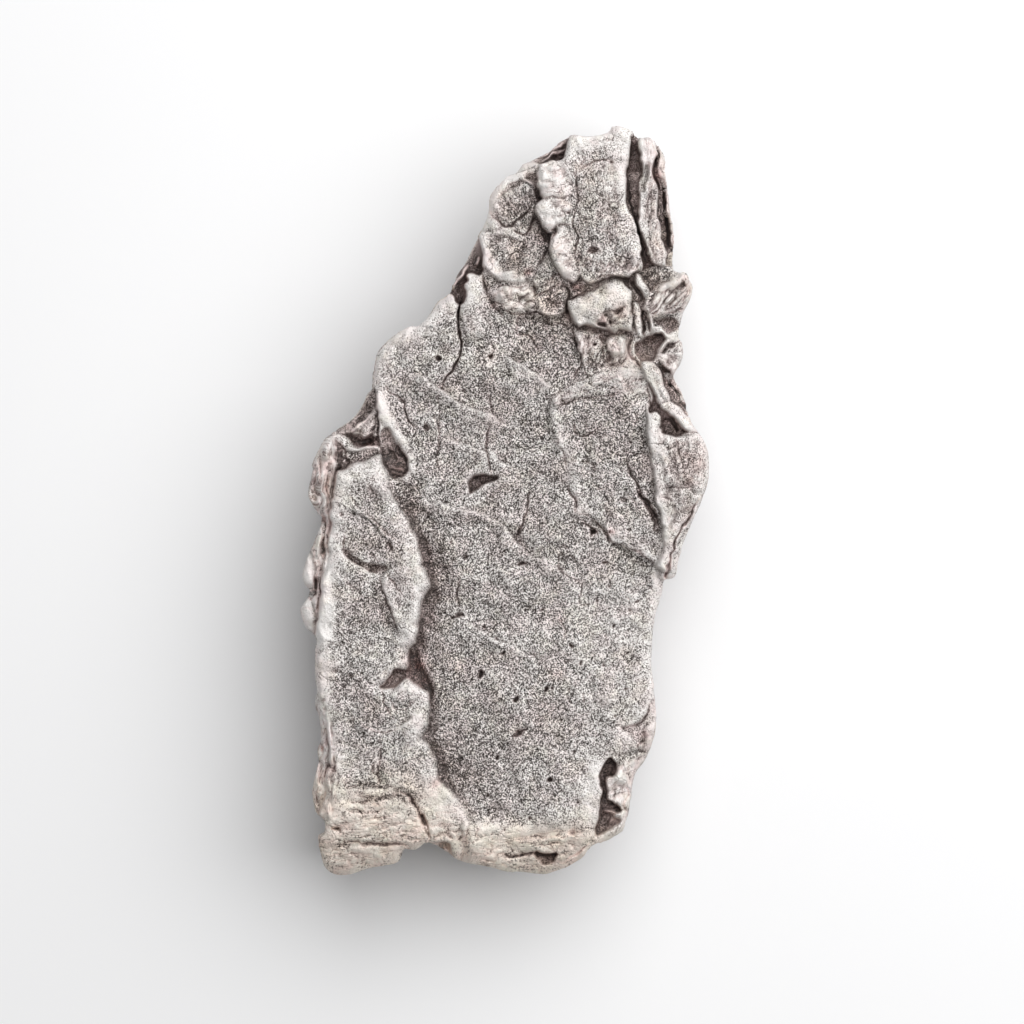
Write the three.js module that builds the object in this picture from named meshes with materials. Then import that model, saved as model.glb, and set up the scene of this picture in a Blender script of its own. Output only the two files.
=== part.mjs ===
// Iron meteorite: a torn slab of nickel iron that lies on its back.
//
// Units are millimetres and +Z is up. +Y runs along the slab, from its broad end to its
// narrow end, and the origin is under the middle of the slab, on the plane it rests on.
// The slab grew and broke as one piece, so it is one closed solid: a face of overlapping
// plates, a layered rim and a worn back with a flat on it.

import * as THREE from 'three';

// Driving dimensions
const LENGTH = 60.0;
const WIDTH = 32.75;
const THICKNESS = 14.0;

const FACE_LEVEL = 11.5;        // the broad middle of the face
const FACE_ROUGHNESS = 0.35;    // swell of the face to either side of its level
const SHOULDER = 0.9;           // width over which a plate steps up or down
const LIP_START = -23.5;        // along Y, where the face starts to roll down at its broad end
const LIP_DROP = 2.6;           // how far it has rolled down at the end

const EDGE_INSET = 0.7;         // from the rim in to the face
const EDGE_DROP = 0.8;          // from the face down to the rim
const RIM_TUCK = 1.3;           // how far the rim leans in from its widest row to its foot
const BACK_INSET = 2.6;         // from the rim in to the back
const BACK_RISE = 2.4;          // how high the rim's foot stands over the resting plane
const BACK_REACH = 2.2;         // how fast that rise dies away towards the middle
const BACK_SWELL = 0.5;         // swell of the back
const BACK_CUT = 0.4;           // how deep the resting plane cuts into that swell
const TIP_START = 15.0;         // along Y, where the back starts to rise to the narrow end
const TIP_RISE = 2.4;           // how far it has risen there
const LAYER_DEPTH = 0.6;        // how far the soft layers of the rim are worn in
const LAYER_STEP = 1.9;         // thickness of a layer
const LAYER_LENGTH = 6.0;       // how far round the rim a layer runs before it changes

const ACROSS = 26;              // faces of the grid over the width
const ALONG = 50;               // faces of the grid over the length
const RIM_ROWS = [0.0, 0.2, 0.4, 0.6, 0.8, 1.0];

const IRON_COLOUR = 0xa9a19e;
const IRON_ROUGHNESS = 0.62;
const IRON_METALNESS = 0.55;

// The rim seen from above, in four runs that meet at the corners: the broad end from left
// to right, the right flank upwards, the narrow end from left to right, the left flank up.
const BROAD_END = [
  [-14.6, -29.1], [-14.2, -29.6], [-13.6, -29.9], [-12.9, -29.95], [-12.2, -29.85],
  [-10.9, -29.4], [-9.2, -29.1], [-8.3, -28.5], [-7.9, -27.8], [-7.2, -27.9],
  [-6.4, -27.35], [-5.9, -27.4], [-5.0, -27.9], [-3.8, -28.7], [-1.4, -29.25],
  [0.2, -29.65], [1.2, -29.7], [3.1, -29.9], [5.0, -29.3], [6.0, -28.7],
  [6.4, -28.4], [7.0, -27.55], [8.2, -27.05], [9.3, -26.5],
];
const RIGHT_FLANK = [
  [9.3, -26.5], [9.6, -26.2], [9.95, -24.8], [10.2, -23.0], [10.6, -21.6], [11.4, -20.5],
  [11.95, -19.0], [12.25, -17.0], [12.05, -15.2], [11.85, -13.0], [12.0, -10.0],
  [12.45, -7.9], [12.85, -6.3], [13.6, -6.0], [14.0, -4.4], [15.05, -1.7], [15.7, -0.15],
  [16.3, 1.7], [16.35, 3.0], [16.0, 4.8], [15.5, 5.5], [14.9, 6.4], [14.6, 7.8],
  [14.1, 9.0], [13.55, 10.0], [14.1, 11.1], [14.35, 12.0], [14.3, 12.7], [14.0, 13.2],
  [14.5, 15.4], [15.0, 16.5], [15.0, 17.4], [14.4, 18.3], [13.6, 18.6], [13.6, 20.9],
  [13.3, 23.3], [13.0, 25.8], [12.8, 27.4], [12.3, 28.5],
];
const NARROW_END = [
  [1.4, 27.0], [2.5, 27.5], [3.6, 28.1], [4.5, 28.9], [5.4, 29.3], [6.6, 29.2],
  [8.1, 29.4], [8.5, 29.9], [9.1, 30.0], [9.9, 29.75], [10.8, 29.1], [11.6, 29.1],
  [12.3, 28.5],
];
const LEFT_FLANK = [
  [-14.6, -29.1], [-14.8, -28.4], [-15.0, -27.1], [-14.95, -26.6], [-14.5, -26.3],
  [-14.5, -25.3], [-15.25, -24.6], [-15.5, -23.4], [-15.15, -21.2], [-15.15, -19.8],
  [-14.85, -18.5], [-15.35, -16.0], [-15.15, -15.0], [-15.25, -13.5], [-15.1, -11.1],
  [-15.7, -10.3], [-16.1, -9.9], [-16.4, -8.8], [-16.1, -7.9], [-15.75, -7.2],
  [-16.3, -6.2], [-16.3, -5.6], [-15.45, -3.3], [-14.8, -1.3], [-15.7, 0.1], [-15.8, 0.8],
  [-15.45, 2.6], [-15.1, 4.0], [-14.6, 5.0], [-13.3, 6.0], [-12.0, 7.0], [-11.1, 8.6],
  [-10.7, 9.1], [-10.4, 11.4], [-10.2, 12.0], [-9.3, 13.0], [-8.1, 13.9], [-7.0, 14.15],
  [-6.1, 15.0], [-5.4, 16.0], [-4.6, 16.6], [-3.9, 18.2], [-2.8, 19.9], [-1.8, 22.1],
  [-1.45, 23.1], [-1.3, 24.3], [-0.7, 25.2], [0.2, 26.1], [0.8, 26.2], [1.4, 27.0],
];

// The plates and hollows of the face, from the lowest laid to the last: each has the level
// that it brings the face to inside its outline.
const PLATES = [
  { // low plate beside the narrow end's slab
    level: 12.0,
    outline: [[-3, 20.7], [-1.9, 18.6], [0.3, 18.1], [2.3, 17.6], [5, 18], [4, 26.6], [0, 27]],
  },
  { // torn corner at the tip, left of the slab
    level: 10.6,
    outline: [[1, 27.1], [4.6, 27.1], [5.1, 28.4], [5.6, 30], [1, 30]],
  },
  { // split laths right of the slab
    level: 11.4,
    outline: [[10.2, 31], [10.0, 24.5], [10.7, 21.5], [11.2, 18.5], [14.5, 18.5], [14.5, 31]],
  },
  { // the slab, the highest plate
    level: 13.9,
    outline: [
      [5.4, 31], [4.9, 28.2], [2.9, 26.9], [2.7, 25.2], [2.7, 22.8], [3.6, 20.8], [4.5, 18],
      [6, 18.4], [7.4, 17.8], [10.8, 18.3], [10.9, 20.3], [10.4, 22.4], [9.8, 24.5],
      [10.2, 28], [10.4, 31],
    ],
  },
  { // wedge-shaped hollow in the left flank under the slab
    level: 8.6,
    outline: [[-5.5, 16.9], [-3.5, 15.9], [-2.8, 18.1], [-1.8, 18.6], [-2, 20.7], [-4, 21]],
  },
  { // nugget
    level: 13.5,
    outline: [[5.1, 15.8], [6.8, 16.7], [9, 17.5], [10.1, 16.7], [10.1, 13.7], [7.5, 13.8],
      [5.3, 14.3]],
  },
  { // pocket between the nugget and the right flank
    level: 9.0,
    outline: [[10.6, 11.8], [11.2, 11.1], [12.4, 12.3], [13.9, 13.7], [13.6, 14.7], [12, 14.9],
      [11, 12.9]],
  },
  { // slot between the laths of the right flank
    level: 9.4,
    outline: [[12.2, 10.7], [13.2, 8.6], [14.2, 7.6], [15.2, 7.0], [14.2, 9.5], [13, 10.6]],
  },
  { // upper right plate
    level: 13.0,
    outline: [
      [3.8, 7.9], [4.5, 8.9], [7.9, 10.2], [10.4, 9.6], [12.6, 7.6], [13.6, 6.2], [17, 6.4],
      [17.5, 0], [14, -6], [12.4, -5.3], [10.9, -4.05], [9.05, -3.3], [6.4, -0.9],
      [5.3, 0.5], [4.85, 3.5], [3.7, 5.6],
    ],
  },
  { // ridge of that plate along the right flank
    level: 13.6,
    outline: [[11.6, 7.2], [12.7, 6.6], [14, 4], [17, 4], [14.4, -3], [12.4, -4.4],
      [12.2, -1], [11.7, 3]],
  },
  { // trough along the left plate
    level: 10.6,
    outline: [
      [-8.9, 0.6], [-7.2, -1.9], [-6.2, -4.6], [-5.5, -7.4], [-6.3, -10.5], [-6.1, -13.6],
      [-5.5, -16.5], [-5.4, -20], [-4.2, -23.4], [-5.5, -22.8], [-6.8, -19], [-7.2, -15],
      [-8.5, -12], [-7.5, -6],
    ],
  },
  { // left plate
    level: 13.2,
    outline: [
      [-13.6, 2.2], [-12.0, 2.8], [-10.0, 3.7], [-9.1, 0.6], [-7.2, -2.6], [-6.0, -6.6],
      [-7.1, -10.5], [-7.9, -13.4], [-6.2, -15.2], [-6.4, -18.9], [-5.4, -21.6],
      [-4.0, -23.6], [-7.6, -23.2], [-13.9, -22.7], [-14.9, -15], [-14.7, -8],
      [-14.1, -3],
    ],
  },
  { // ledge of layers along the left flank
    level: 9.0,
    outline: [[-17, 6], [-14, 4.6], [-13.7, 1], [-14.1, -4], [-14.8, -7], [-15.2, -12], [-17, -12]],
  },
  { // hollow above the left plate
    level: 8.0,
    outline: [[-14.5, 7], [-12.9, 4.9], [-10.2, 4.4], [-10.1, 8.7], [-11, 10]],
  },
  { // gash between that hollow and the face
    level: 9.6,
    outline: [[-10, 4.3], [-9.6, 5.8], [-8, 3.7], [-7.9, 2.2], [-8.8, 1.4], [-9.6, 2.6]],
  },
  { // step of the broad end, left
    level: 11.6,
    outline: [[-16, -22.8], [-9.5, -23.1], [-7.6, -23.5], [-6.4, -25.4], [-5.9, -29], [-16, -31]],
  },
  { // lower block at the right of the broad end
    level: 9.6,
    outline: [[8.1, -20.9], [11.4, -20.7], [11, -27], [7.3, -27.5]],
  },
  { // slot between that block and the face
    level: 7.6,
    outline: [[8.9, -20.5], [8.8, -21.8], [8.1, -23.3], [8.6, -26.6], [7.3, -26.4], [7.7, -21.3]],
  },
  { // worn hollow in the right flank
    level: 10.3,
    outline: [[9.2, -18.1], [10.9, -17.6], [11.9, -16], [13.5, -17], [12.5, -20.2], [11, -20]],
  },
];

function smoothStep(low, high, value) {
  const t = Math.min(1, Math.max(0, (value - low) / (high - low)));
  return t * t * (3 - 2 * t);
}

// A repeatable number from 0 to 1 for each whole-number place.
function scatter(column, row) {
  const wave = Math.sin(column * 127.1 + row * 311.7) * 43758.5453;
  return wave - Math.floor(wave);
}

// Smooth swell from -1 to 1, with hills about one unit apart.
function swell(x, y) {
  const column = Math.floor(x);
  const row = Math.floor(y);
  const a = smoothStep(0, 1, x - column);
  const b = smoothStep(0, 1, y - row);
  const low = scatter(column, row) * (1 - a) + scatter(column + 1, row) * a;
  const high = scatter(column, row + 1) * (1 - a) + scatter(column + 1, row + 1) * a;
  return 2 * (low * (1 - b) + high * b) - 1;
}

// Distance from a place to an outline, negative inside it.
function signedDistance(x, y, outline) {
  let nearest = Infinity;
  let inside = false;
  for (let i = 0; i < outline.length; i += 1) {
    const [ax, ay] = outline[i];
    const [bx, by] = outline[(i + 1) % outline.length];
    const dx = bx - ax;
    const dy = by - ay;
    const along = ((x - ax) * dx + (y - ay) * dy) / (dx * dx + dy * dy);
    const t = Math.min(1, Math.max(0, along));
    nearest = Math.min(nearest, Math.hypot(x - ax - t * dx, y - ay - t * dy));
    const crosses = (ay > y) !== (by > y);
    if (crosses && x < ax + ((y - ay) / dy) * dx) inside = !inside;
  }
  return inside ? -nearest : nearest;
}

// Height of the face: its level with a long swell, rolled down at the broad end, and
// brought to the level of each plate or hollow inside that one's outline.
function faceHeight(x, y) {
  const rolled = Math.max(0, (LIP_START - y) / (LENGTH / 2 + LIP_START));
  let height = FACE_LEVEL + FACE_ROUGHNESS * swell(x / 6, y / 6);
  for (const plate of PLATES) {
    const distance = signedDistance(x, y, plate.outline);
    const level = plate.level + 0.6 * FACE_ROUGHNESS * swell(x / 4 + plate.level, y / 4);
    height += (level - height) * smoothStep(SHOULDER / 2, -SHOULDER / 2, distance);
  }
  return height - LIP_DROP * rolled * rolled;
}

// How far the back has risen towards the narrow end.
function tipRise(y) {
  return TIP_RISE * smoothStep(TIP_START, LENGTH / 2, y);
}

// Height of the back: it swells, rises towards the rim and the narrow end, and is cut flat
// where it rests.
function backHeight(x, y, rim) {
  const inwards = Math.abs(signedDistance(x, y, rim));
  const rise = BACK_RISE * Math.exp(-(inwards - BACK_INSET) / BACK_REACH) + tipRise(y);
  return Math.max(0, rise + BACK_SWELL * swell(x / 8 + 3, y / 8) - BACK_CUT);
}

// A run of the rim as evenly spaced points on a smooth curve.
function spread(run, count) {
  const places = run.map(([x, y]) => new THREE.Vector3(x, y, 0));
  const curve = new THREE.CatmullRomCurve3(places, false, 'centripetal');
  return curve.getSpacedPoints(count).map((place) => [place.x, place.y]);
}

// The grid's border, counter-clockwise from the left of the broad end.
function borderPlaces() {
  const places = [];
  for (let i = 0; i < ACROSS; i += 1) places.push([i, 0]);
  for (let j = 0; j < ALONG; j += 1) places.push([ACROSS, j]);
  for (let i = ACROSS; i > 0; i -= 1) places.push([i, ALONG]);
  for (let j = ALONG; j > 0; j -= 1) places.push([0, j]);
  return places;
}

// Outward directions of a closed loop of points, averaged over a few neighbours.
function outwardDirections(loop) {
  const count = loop.length;
  return loop.map((place, i) => {
    const before = loop[(i + count - 2) % count];
    const after = loop[(i + 2) % count];
    const length = Math.hypot(after[0] - before[0], after[1] - before[1]);
    return [(after[1] - before[1]) / length, -(after[0] - before[0]) / length];
  });
}

// A grid of places inside a closed loop: the Coons patch of its four runs.
function fillLoop(loop) {
  const right = ACROSS;
  const top = ACROSS + ALONG;
  const left = 2 * ACROSS + ALONG;
  const pick = (index, axis) => loop[index % loop.length][axis];
  const grid = [];
  for (let j = 0; j <= ALONG; j += 1) {
    const v = j / ALONG;
    const row = [];
    for (let i = 0; i <= ACROSS; i += 1) {
      const u = i / ACROSS;
      row.push([0, 1].map((axis) => {
        const sides = (1 - u) * pick(left + ALONG - j, axis) + u * pick(right + j, axis);
        const ends = (1 - v) * pick(i, axis) + v * pick(top + ACROSS - i, axis);
        const low = (1 - u) * pick(0, axis) + u * pick(right, axis);
        const high = (1 - u) * pick(left, axis) + u * pick(top, axis);
        return sides + ends - (1 - v) * low - v * high;
      }));
    }
    grid.push(row);
  }
  return grid;
}

// Joins the face, the rows of the rim and the back into one closed mesh.
function buildSlab() {
  const broad = spread(BROAD_END, ACROSS);
  const right = spread(RIGHT_FLANK, ALONG);
  const narrow = spread(NARROW_END, ACROSS);
  const left = spread(LEFT_FLANK, ALONG);
  const rim = [
    ...broad.slice(0, -1),
    ...right.slice(0, -1),
    ...narrow.slice(1).reverse(),
    ...left.slice(1).reverse(),
  ];
  const outward = outwardDirections(rim);
  const inset = (depth) => rim.map(([x, y], k) => (
    [x - depth * outward[k][0], y - depth * outward[k][1]]
  ));

  const points = [];
  const faces = [];
  const addPoint = (x, y, z) => points.push([x, y, z]) - 1;

  const faceLoop = inset(EDGE_INSET);
  const faceIndex = fillLoop(faceLoop).map((row) => (
    row.map(([x, y]) => addPoint(x, y, faceHeight(x, y)))
  ));
  const backLoop = inset(BACK_INSET);
  const backIndex = fillLoop(backLoop).map((row) => (
    row.map(([x, y]) => addPoint(x, y, backHeight(x, y, rim)))
  ));

  for (let j = 0; j < ALONG; j += 1) {
    for (let i = 0; i < ACROSS; i += 1) {
      const [a, b, c, d] = [
        faceIndex[j][i], faceIndex[j][i + 1], faceIndex[j + 1][i + 1], faceIndex[j + 1][i],
      ];
      faces.push([a, b, c], [a, c, d]);
      const [e, f, g, h] = [
        backIndex[j][i], backIndex[j][i + 1], backIndex[j + 1][i + 1], backIndex[j + 1][i],
      ];
      faces.push([e, g, f], [e, h, g]);
    }
  }

  // The rim: a row of points for each share of its height. It is widest somewhere between
  // its top and its middle, leans in below that, and is worn in where a soft layer lies.
  const border = borderPlaces();
  const rows = [border.map(([i, j]) => faceIndex[j][i])];
  for (const share of RIM_ROWS) {
    rows.push(rim.map(([x, y], k) => {
      const place = (x + 2 * y) / LAYER_LENGTH;
      const high = points[rows[0][k]][2] - EDGE_DROP;
      const low = BACK_RISE + tipRise(y) + 0.5 * swell(place, 7);
      const z = high + (low - high) * share;
      const widest = 0.3 + 0.2 * swell(place / 2, 3);
      const below = Math.max(0, share - widest) / (1 - widest);
      const soft = 0.5 + 0.5 * swell(place, z / LAYER_STEP);
      const worn = LAYER_DEPTH * soft * Math.min(1, 3 * Math.abs(share - widest));
      const inwards = worn + RIM_TUCK * below * below;
      return addPoint(x - inwards * outward[k][0], y - inwards * outward[k][1], z);
    }));
  }
  rows.push(border.map(([i, j]) => backIndex[j][i]));
  for (let r = 0; r + 1 < rows.length; r += 1) {
    for (let k = 0; k < rim.length; k += 1) {
      const next = (k + 1) % rim.length;
      const [a, b, c, d] = [rows[r][k], rows[r][next], rows[r + 1][next], rows[r + 1][k]];
      faces.push([a, d, c], [a, c, b]);
    }
  }
  return { points, faces };
}

// Brings the slab to its length, width and thickness, over the origin.
function fitToSize(points) {
  const box = new THREE.Box3().setFromArray(points.flat());
  const size = box.getSize(new THREE.Vector3());
  const middle = box.getCenter(new THREE.Vector3());
  return points.map(([x, y, z]) => [
    (x - middle.x) * (WIDTH / size.x),
    (y - middle.y) * (LENGTH / size.y),
    (z - box.min.z) * (THICKNESS / size.z),
  ]);
}

const slab = buildSlab();
const geometry = new THREE.BufferGeometry();
const positions = new Float32Array(fitToSize(slab.points).flat());
geometry.setAttribute('position', new THREE.BufferAttribute(positions, 3));
geometry.setIndex(slab.faces.flat());
geometry.computeVertexNormals();

const meteorite = new THREE.Mesh(geometry, new THREE.MeshStandardMaterial({
  color: IRON_COLOUR,
  roughness: IRON_ROUGHNESS,
  metalness: IRON_METALNESS,
}));
meteorite.name = 'meteorite';

const group = new THREE.Group();
group.add(meteorite);

export default group;
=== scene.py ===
"""Iron meteorite: one torn slab of nickel iron that lies on its back, plated face up.

The face and the back are heights over the slab's plan, the rim is a band carried round its
outline, and the three are joined into one closed surface. Lengths are in millimetres until
the mesh is made, which is in metres, but for places on the plan: these are rows of x, y, x, y
and so on, in tenths of a millimetre.
"""
from types import SimpleNamespace

import bpy
import numpy as np
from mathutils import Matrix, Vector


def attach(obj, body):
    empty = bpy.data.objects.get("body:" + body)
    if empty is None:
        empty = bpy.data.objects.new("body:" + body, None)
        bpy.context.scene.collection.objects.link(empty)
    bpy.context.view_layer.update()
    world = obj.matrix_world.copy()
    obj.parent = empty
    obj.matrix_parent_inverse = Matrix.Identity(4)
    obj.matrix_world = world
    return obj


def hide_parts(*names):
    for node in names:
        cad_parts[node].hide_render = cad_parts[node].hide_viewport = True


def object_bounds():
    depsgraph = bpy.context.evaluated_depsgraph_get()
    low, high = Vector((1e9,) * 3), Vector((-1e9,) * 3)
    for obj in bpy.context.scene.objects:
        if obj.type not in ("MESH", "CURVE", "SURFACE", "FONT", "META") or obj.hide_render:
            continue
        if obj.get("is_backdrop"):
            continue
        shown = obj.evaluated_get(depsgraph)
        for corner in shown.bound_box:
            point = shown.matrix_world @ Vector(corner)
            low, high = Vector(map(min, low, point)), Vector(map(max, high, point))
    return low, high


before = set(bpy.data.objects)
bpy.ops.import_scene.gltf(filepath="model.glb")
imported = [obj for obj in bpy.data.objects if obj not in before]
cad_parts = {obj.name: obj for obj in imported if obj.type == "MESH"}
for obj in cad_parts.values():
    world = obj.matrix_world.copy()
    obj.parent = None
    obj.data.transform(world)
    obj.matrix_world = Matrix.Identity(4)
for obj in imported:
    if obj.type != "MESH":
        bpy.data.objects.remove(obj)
cad_low, cad_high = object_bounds()

# ---------------------------------------------------------
# The slab's outline. The lump was torn from a larger mass, so its rim follows old cracks:
# short straight breaks, knobs where a layer stands out and notches where one is gone.
# Four runs meet at the corners of the broad end (below) and the narrow end (above).
# ---------------------------------------------------------
BROAD_END = [
    -146, -291, -142, -296, -136, -299, -129, -299.5, -122, -298.5, -109, -294, -92, -291,
    -86, -289, -83, -285, -81.5, -280, -79, -278, -72, -279, -67, -276, -64, -273.5, -59, -274,
    -50, -279, -38, -287, -30, -289.5, -14, -292.5, 2, -296.5, 12, -297, 31, -299, 40, -296.5,
    50, -293, 60, -287, 64, -284, 70, -275.5, 82, -270.5, 93, -265,
]
RIGHT_FLANK = [
    93, -265, 96, -262, 99.5, -248, 102, -230, 104, -222, 106, -216, 110, -211, 114, -205,
    119.5, -190, 121, -184, 122.5, -170, 120.5, -152, 120, -143, 118.5, -130, 119, -115, 120, -100,
    122, -88, 124.5, -79, 127, -70, 128.5, -63, 136, -60, 140, -44, 144, -33, 150.5, -17,
    157, -1.5, 163, 17, 163.5, 30, 162.5, 39, 160, 48, 155, 55, 150, 62, 147, 70, 146, 78, 144, 83,
    141, 90, 138, 95, 135.5, 100, 137, 104, 141, 111, 143.5, 120, 143, 127, 140, 132, 142, 143,
    145, 154, 150, 165, 150, 174, 144, 183, 136, 185.5, 136, 209, 133, 233, 130, 258, 128, 274,
    123, 285,
]
NARROW_END = [
    14, 270, 17, 271.5, 25, 275, 36, 281, 45, 289, 54, 293, 66, 292, 81, 294, 85, 299, 91, 300,
    99, 297.5, 103.5, 295, 108, 291, 116, 291, 123, 285,
]
LEFT_FLANK = [
    -146, -291, -148, -284, -150, -271, -149.5, -266, -145, -263, -145, -253, -149, -251,
    -152.5, -246, -155, -234, -154.5, -224, -151.5, -212, -150.5, -205, -151.5, -198, -149, -191,
    -148.5, -185, -150, -172, -152.5, -166, -153.5, -160, -151.5, -150, -152.5, -135, -152, -117,
    -151, -111, -153.5, -106, -157, -103, -161, -99, -164, -88, -163.5, -83, -161, -79,
    -157.5, -73, -158, -70, -161, -67, -163, -62, -163, -56, -159.5, -44, -154.5, -33, -150, -23,
    -148, -13, -151, -9, -157, 1, -158, 8, -156.5, 16, -154.5, 26, -155, 30, -151, 40, -146, 50,
    -142, 54, -133, 60, -124, 66, -120, 70, -115, 77, -111, 86, -107, 91, -106, 102, -104, 114,
    -102, 120, -93, 130, -81, 139, -75, 141.5, -70, 141.5, -61, 150, -54, 160, -46, 166, -39, 182,
    -34, 189, -28, 199, -23, 210, -18, 221, -14.5, 231, -13, 243, -7, 252, 2, 261, 8, 262, 14, 270,
]
ACROSS, ALONG = 340, 700        # quads of the plan's grid over the width and the length


def rounded(points, per=5, closed=False):
    """Points in mm on a smooth curve through the given places: between two of them, p1 and
    p2, the Catmull-Rom cubic, whose slope at each is half the step between its neighbours."""
    p = np.reshape(points, (-1, 2)) / 10
    if closed:
        p = np.concatenate((p[-1:], p, p[:2]))
    else:
        p = np.concatenate((2 * p[:1] - p[1:2], p, 2 * p[-1:] - p[-2:-1]))
    t = (np.arange(per) / per)[:, None, None]
    p0, p1, p2, p3 = p[:-3], p[1:-2], p[2:-1], p[3:]
    curve = p1 + t * (p2 - p0) / 2
    curve = curve + t**2 * (2 * p0 - 5 * p1 + 4 * p2 - p3) / 2
    curve = curve + t**3 * (3 * p1 - p0 - 3 * p2 + p3) / 2
    curve = curve.transpose(1, 0, 2).reshape(-1, 2)
    return curve if closed else np.concatenate((curve, p[-2:-1]))


def spread(run, count):
    """A run of the outline as count equal steps along its smooth curve."""
    curve = rounded(run, 8)
    gone = np.concatenate(([0], np.cumsum(np.hypot(*np.diff(curve, axis=0).T))))
    at = np.linspace(0, gone[-1], count + 1)
    return np.stack([np.interp(at, gone, curve[:, axis]) for axis in (0, 1)], 1)


broad, narrow = spread(BROAD_END, ACROSS), spread(NARROW_END, ACROSS)
right, left = spread(RIGHT_FLANK, ALONG), spread(LEFT_FLANK, ALONG)
outline = np.concatenate((broad[:-1], right[:-1], narrow[:0:-1], left[:0:-1]))

# ---------------------------------------------------------
# The ground that the face and the back are worked on: a fine raster over the slab's plan,
# which holds their height, and where they are stained, rusty, warm or worn smooth.
# ---------------------------------------------------------
STEP = 0.06                     # mm from one place of the raster to the next
LEFT_END, LOW_END = -17.4, -31.2
ground_x, ground_y = np.meshgrid(
    np.arange(LEFT_END, -LEFT_END, STEP), np.arange(LOW_END, -LOW_END, STEP))


def swell(x, y, z=0.0):
    """Smooth noise from -1 to 1 with hills about one unit apart: a random value at each
    whole-number place, blended between them by 3t^2 - 2t^3 along each axis."""
    x, y, z = np.broadcast_arrays(x, y, z)
    cells = [np.floor(a).astype(np.int64) for a in (x, y, z)]
    parts = [a - c for a, c in zip((x, y, z), cells)]
    parts = [t * t * (3 - 2 * t) for t in parts]
    total = np.zeros(x.shape)
    for corner in range(8):
        steps = (corner & 1, corner >> 1 & 1, corner >> 2)
        i, j, k = (c + s for c, s in zip(cells, steps))
        mixed = (i * 374761393 + j * 668265263 + k * 974634773) & 0xFFFFFFFF
        mixed = ((mixed ^ (mixed >> 13)) * 1274126177) & 0xFFFFFFFF
        value = (mixed ^ (mixed >> 16)) / 2.0**31 - 1
        for t, s in zip(parts, steps):
            value = value * (t if s else 1 - t)
        total += value
    return total


def hills(size, seed, at=...):
    """Smooth noise with hills of a size in mm, over the ground or the part of it at hand."""
    return swell(ground_x[at] / size, ground_y[at] / size, seed)


def smooth(low, high, value):
    """0 below low, 1 above high, and 3t^2 - 2t^3 between."""
    t = np.clip((value - low) / (high - low), 0, 1)
    return t * t * (3 - 2 * t)


def inside_distance(x, y, loop):
    """Distance to a closed loop, positive inside it: the least distance to its edges, with
    the sign from how often a level line to the right crosses them."""
    nearest = np.full(x.shape, np.inf)
    inside = np.zeros(x.shape, bool)
    for (ax, ay), (bx, by) in zip(loop, np.roll(loop, -1, 0)):
        dx, dy = bx - ax, by - ay
        t = np.clip(((x - ax) * dx + (y - ay) * dy) / (dx * dx + dy * dy + 1e-12), 0, 1)
        nearest = np.minimum(nearest, (x - ax - t * dx) ** 2 + (y - ay - t * dy) ** 2)
        if dy:
            inside ^= ((ay > y) != (by > y)) & (x < ax + (y - ay) / dy * dx)
    return np.where(inside, 1, -1) * np.sqrt(nearest)


def path_distance(x, y, path):
    """Distance to an open path, the share of its length at the nearest point, and the side
    of it: 1 to the left of the way it runs and -1 to the right."""
    nearest = np.full(x.shape, np.inf)
    share, side = np.zeros(x.shape), np.zeros(x.shape)
    steps = np.hypot(*np.diff(path, axis=0).T)
    gone = np.concatenate(([0], np.cumsum(steps)))
    for (ax, ay), (bx, by), start, step in zip(path[:-1], path[1:], gone, steps):
        dx, dy = bx - ax, by - ay
        t = np.clip(((x - ax) * dx + (y - ay) * dy) / step**2, 0, 1)
        off_x, off_y = x - ax - t * dx, y - ay - t * dy
        away = np.hypot(off_x, off_y)
        closer = away < nearest
        nearest = np.where(closer, away, nearest)
        share = np.where(closer, (start + t * step) / gone[-1], share)
        side = np.where(closer, np.sign(dx * off_y - dy * off_x), side)
    return nearest, share, side


def window(points, reach):
    """The rows and columns of the ground within reach of some points."""
    low = (np.min(points, 0) - reach - (LEFT_END, LOW_END)) / STEP
    high = (np.max(points, 0) + reach - (LEFT_END, LOW_END)) / STEP
    low, high = np.maximum(low, 0).astype(int), np.maximum(high, 0).astype(int) + 2
    return slice(low[1], high[1]), slice(low[0], high[0])


# Edges are ragged: every shape is drawn on a ground that wanders by a few tenths of a mm.
bent_x = ground_x + 0.22 * hills(1.1, 1.5)
bent_x = bent_x + 0.14 * hills(0.42, 2.5)
bent_y = ground_y + 0.22 * hills(1.1, 3.5)
bent_y = bent_y + 0.14 * hills(0.42, 4.5)


def sample(raster, x, y, step=STEP):
    """The value of a raster at any places, straight-line blended between its four nearest."""
    column = np.clip((x - LEFT_END) / step, 0, raster.shape[1] - 1.001)
    row = np.clip((y - LOW_END) / step, 0, raster.shape[0] - 1.001)
    i, j = column.astype(int), row.astype(int)
    u, v = column - i, row - j
    low = raster[j, i] * (1 - u) + raster[j, i + 1] * u
    high = raster[j + 1, i] * (1 - u) + raster[j + 1, i + 1] * u
    return low * (1 - v) + high * v


# Distance in from the outline, positive inside it, worked out on every fourth place.
to_rim = inside_distance(ground_x[::4, ::4], ground_y[::4, ::4], outline[::4])
to_rim = sample(to_rim, ground_x, ground_y, 4 * STEP)


def blank_side():
    """One side of the slab, as rasters: its height in mm; from 0 to 1 the brown film in its
    hollows, its red rust, its creamy weathering, how far it is rubbed smooth or painted with a
    highlight, how much painted shade darkens its cracks, pits and creases and how streaky it is;
    how much paler or darker than the rest it is, in painted light and shade as well as its own
    tone; and which way its streaks lie."""
    names = ("height", "stain", "rust", "warm", "polish", "dark", "shade", "streaks", "lie_x",
             "lie_y")
    return SimpleNamespace(**{name: np.zeros(ground_x.shape) for name in names})


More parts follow.
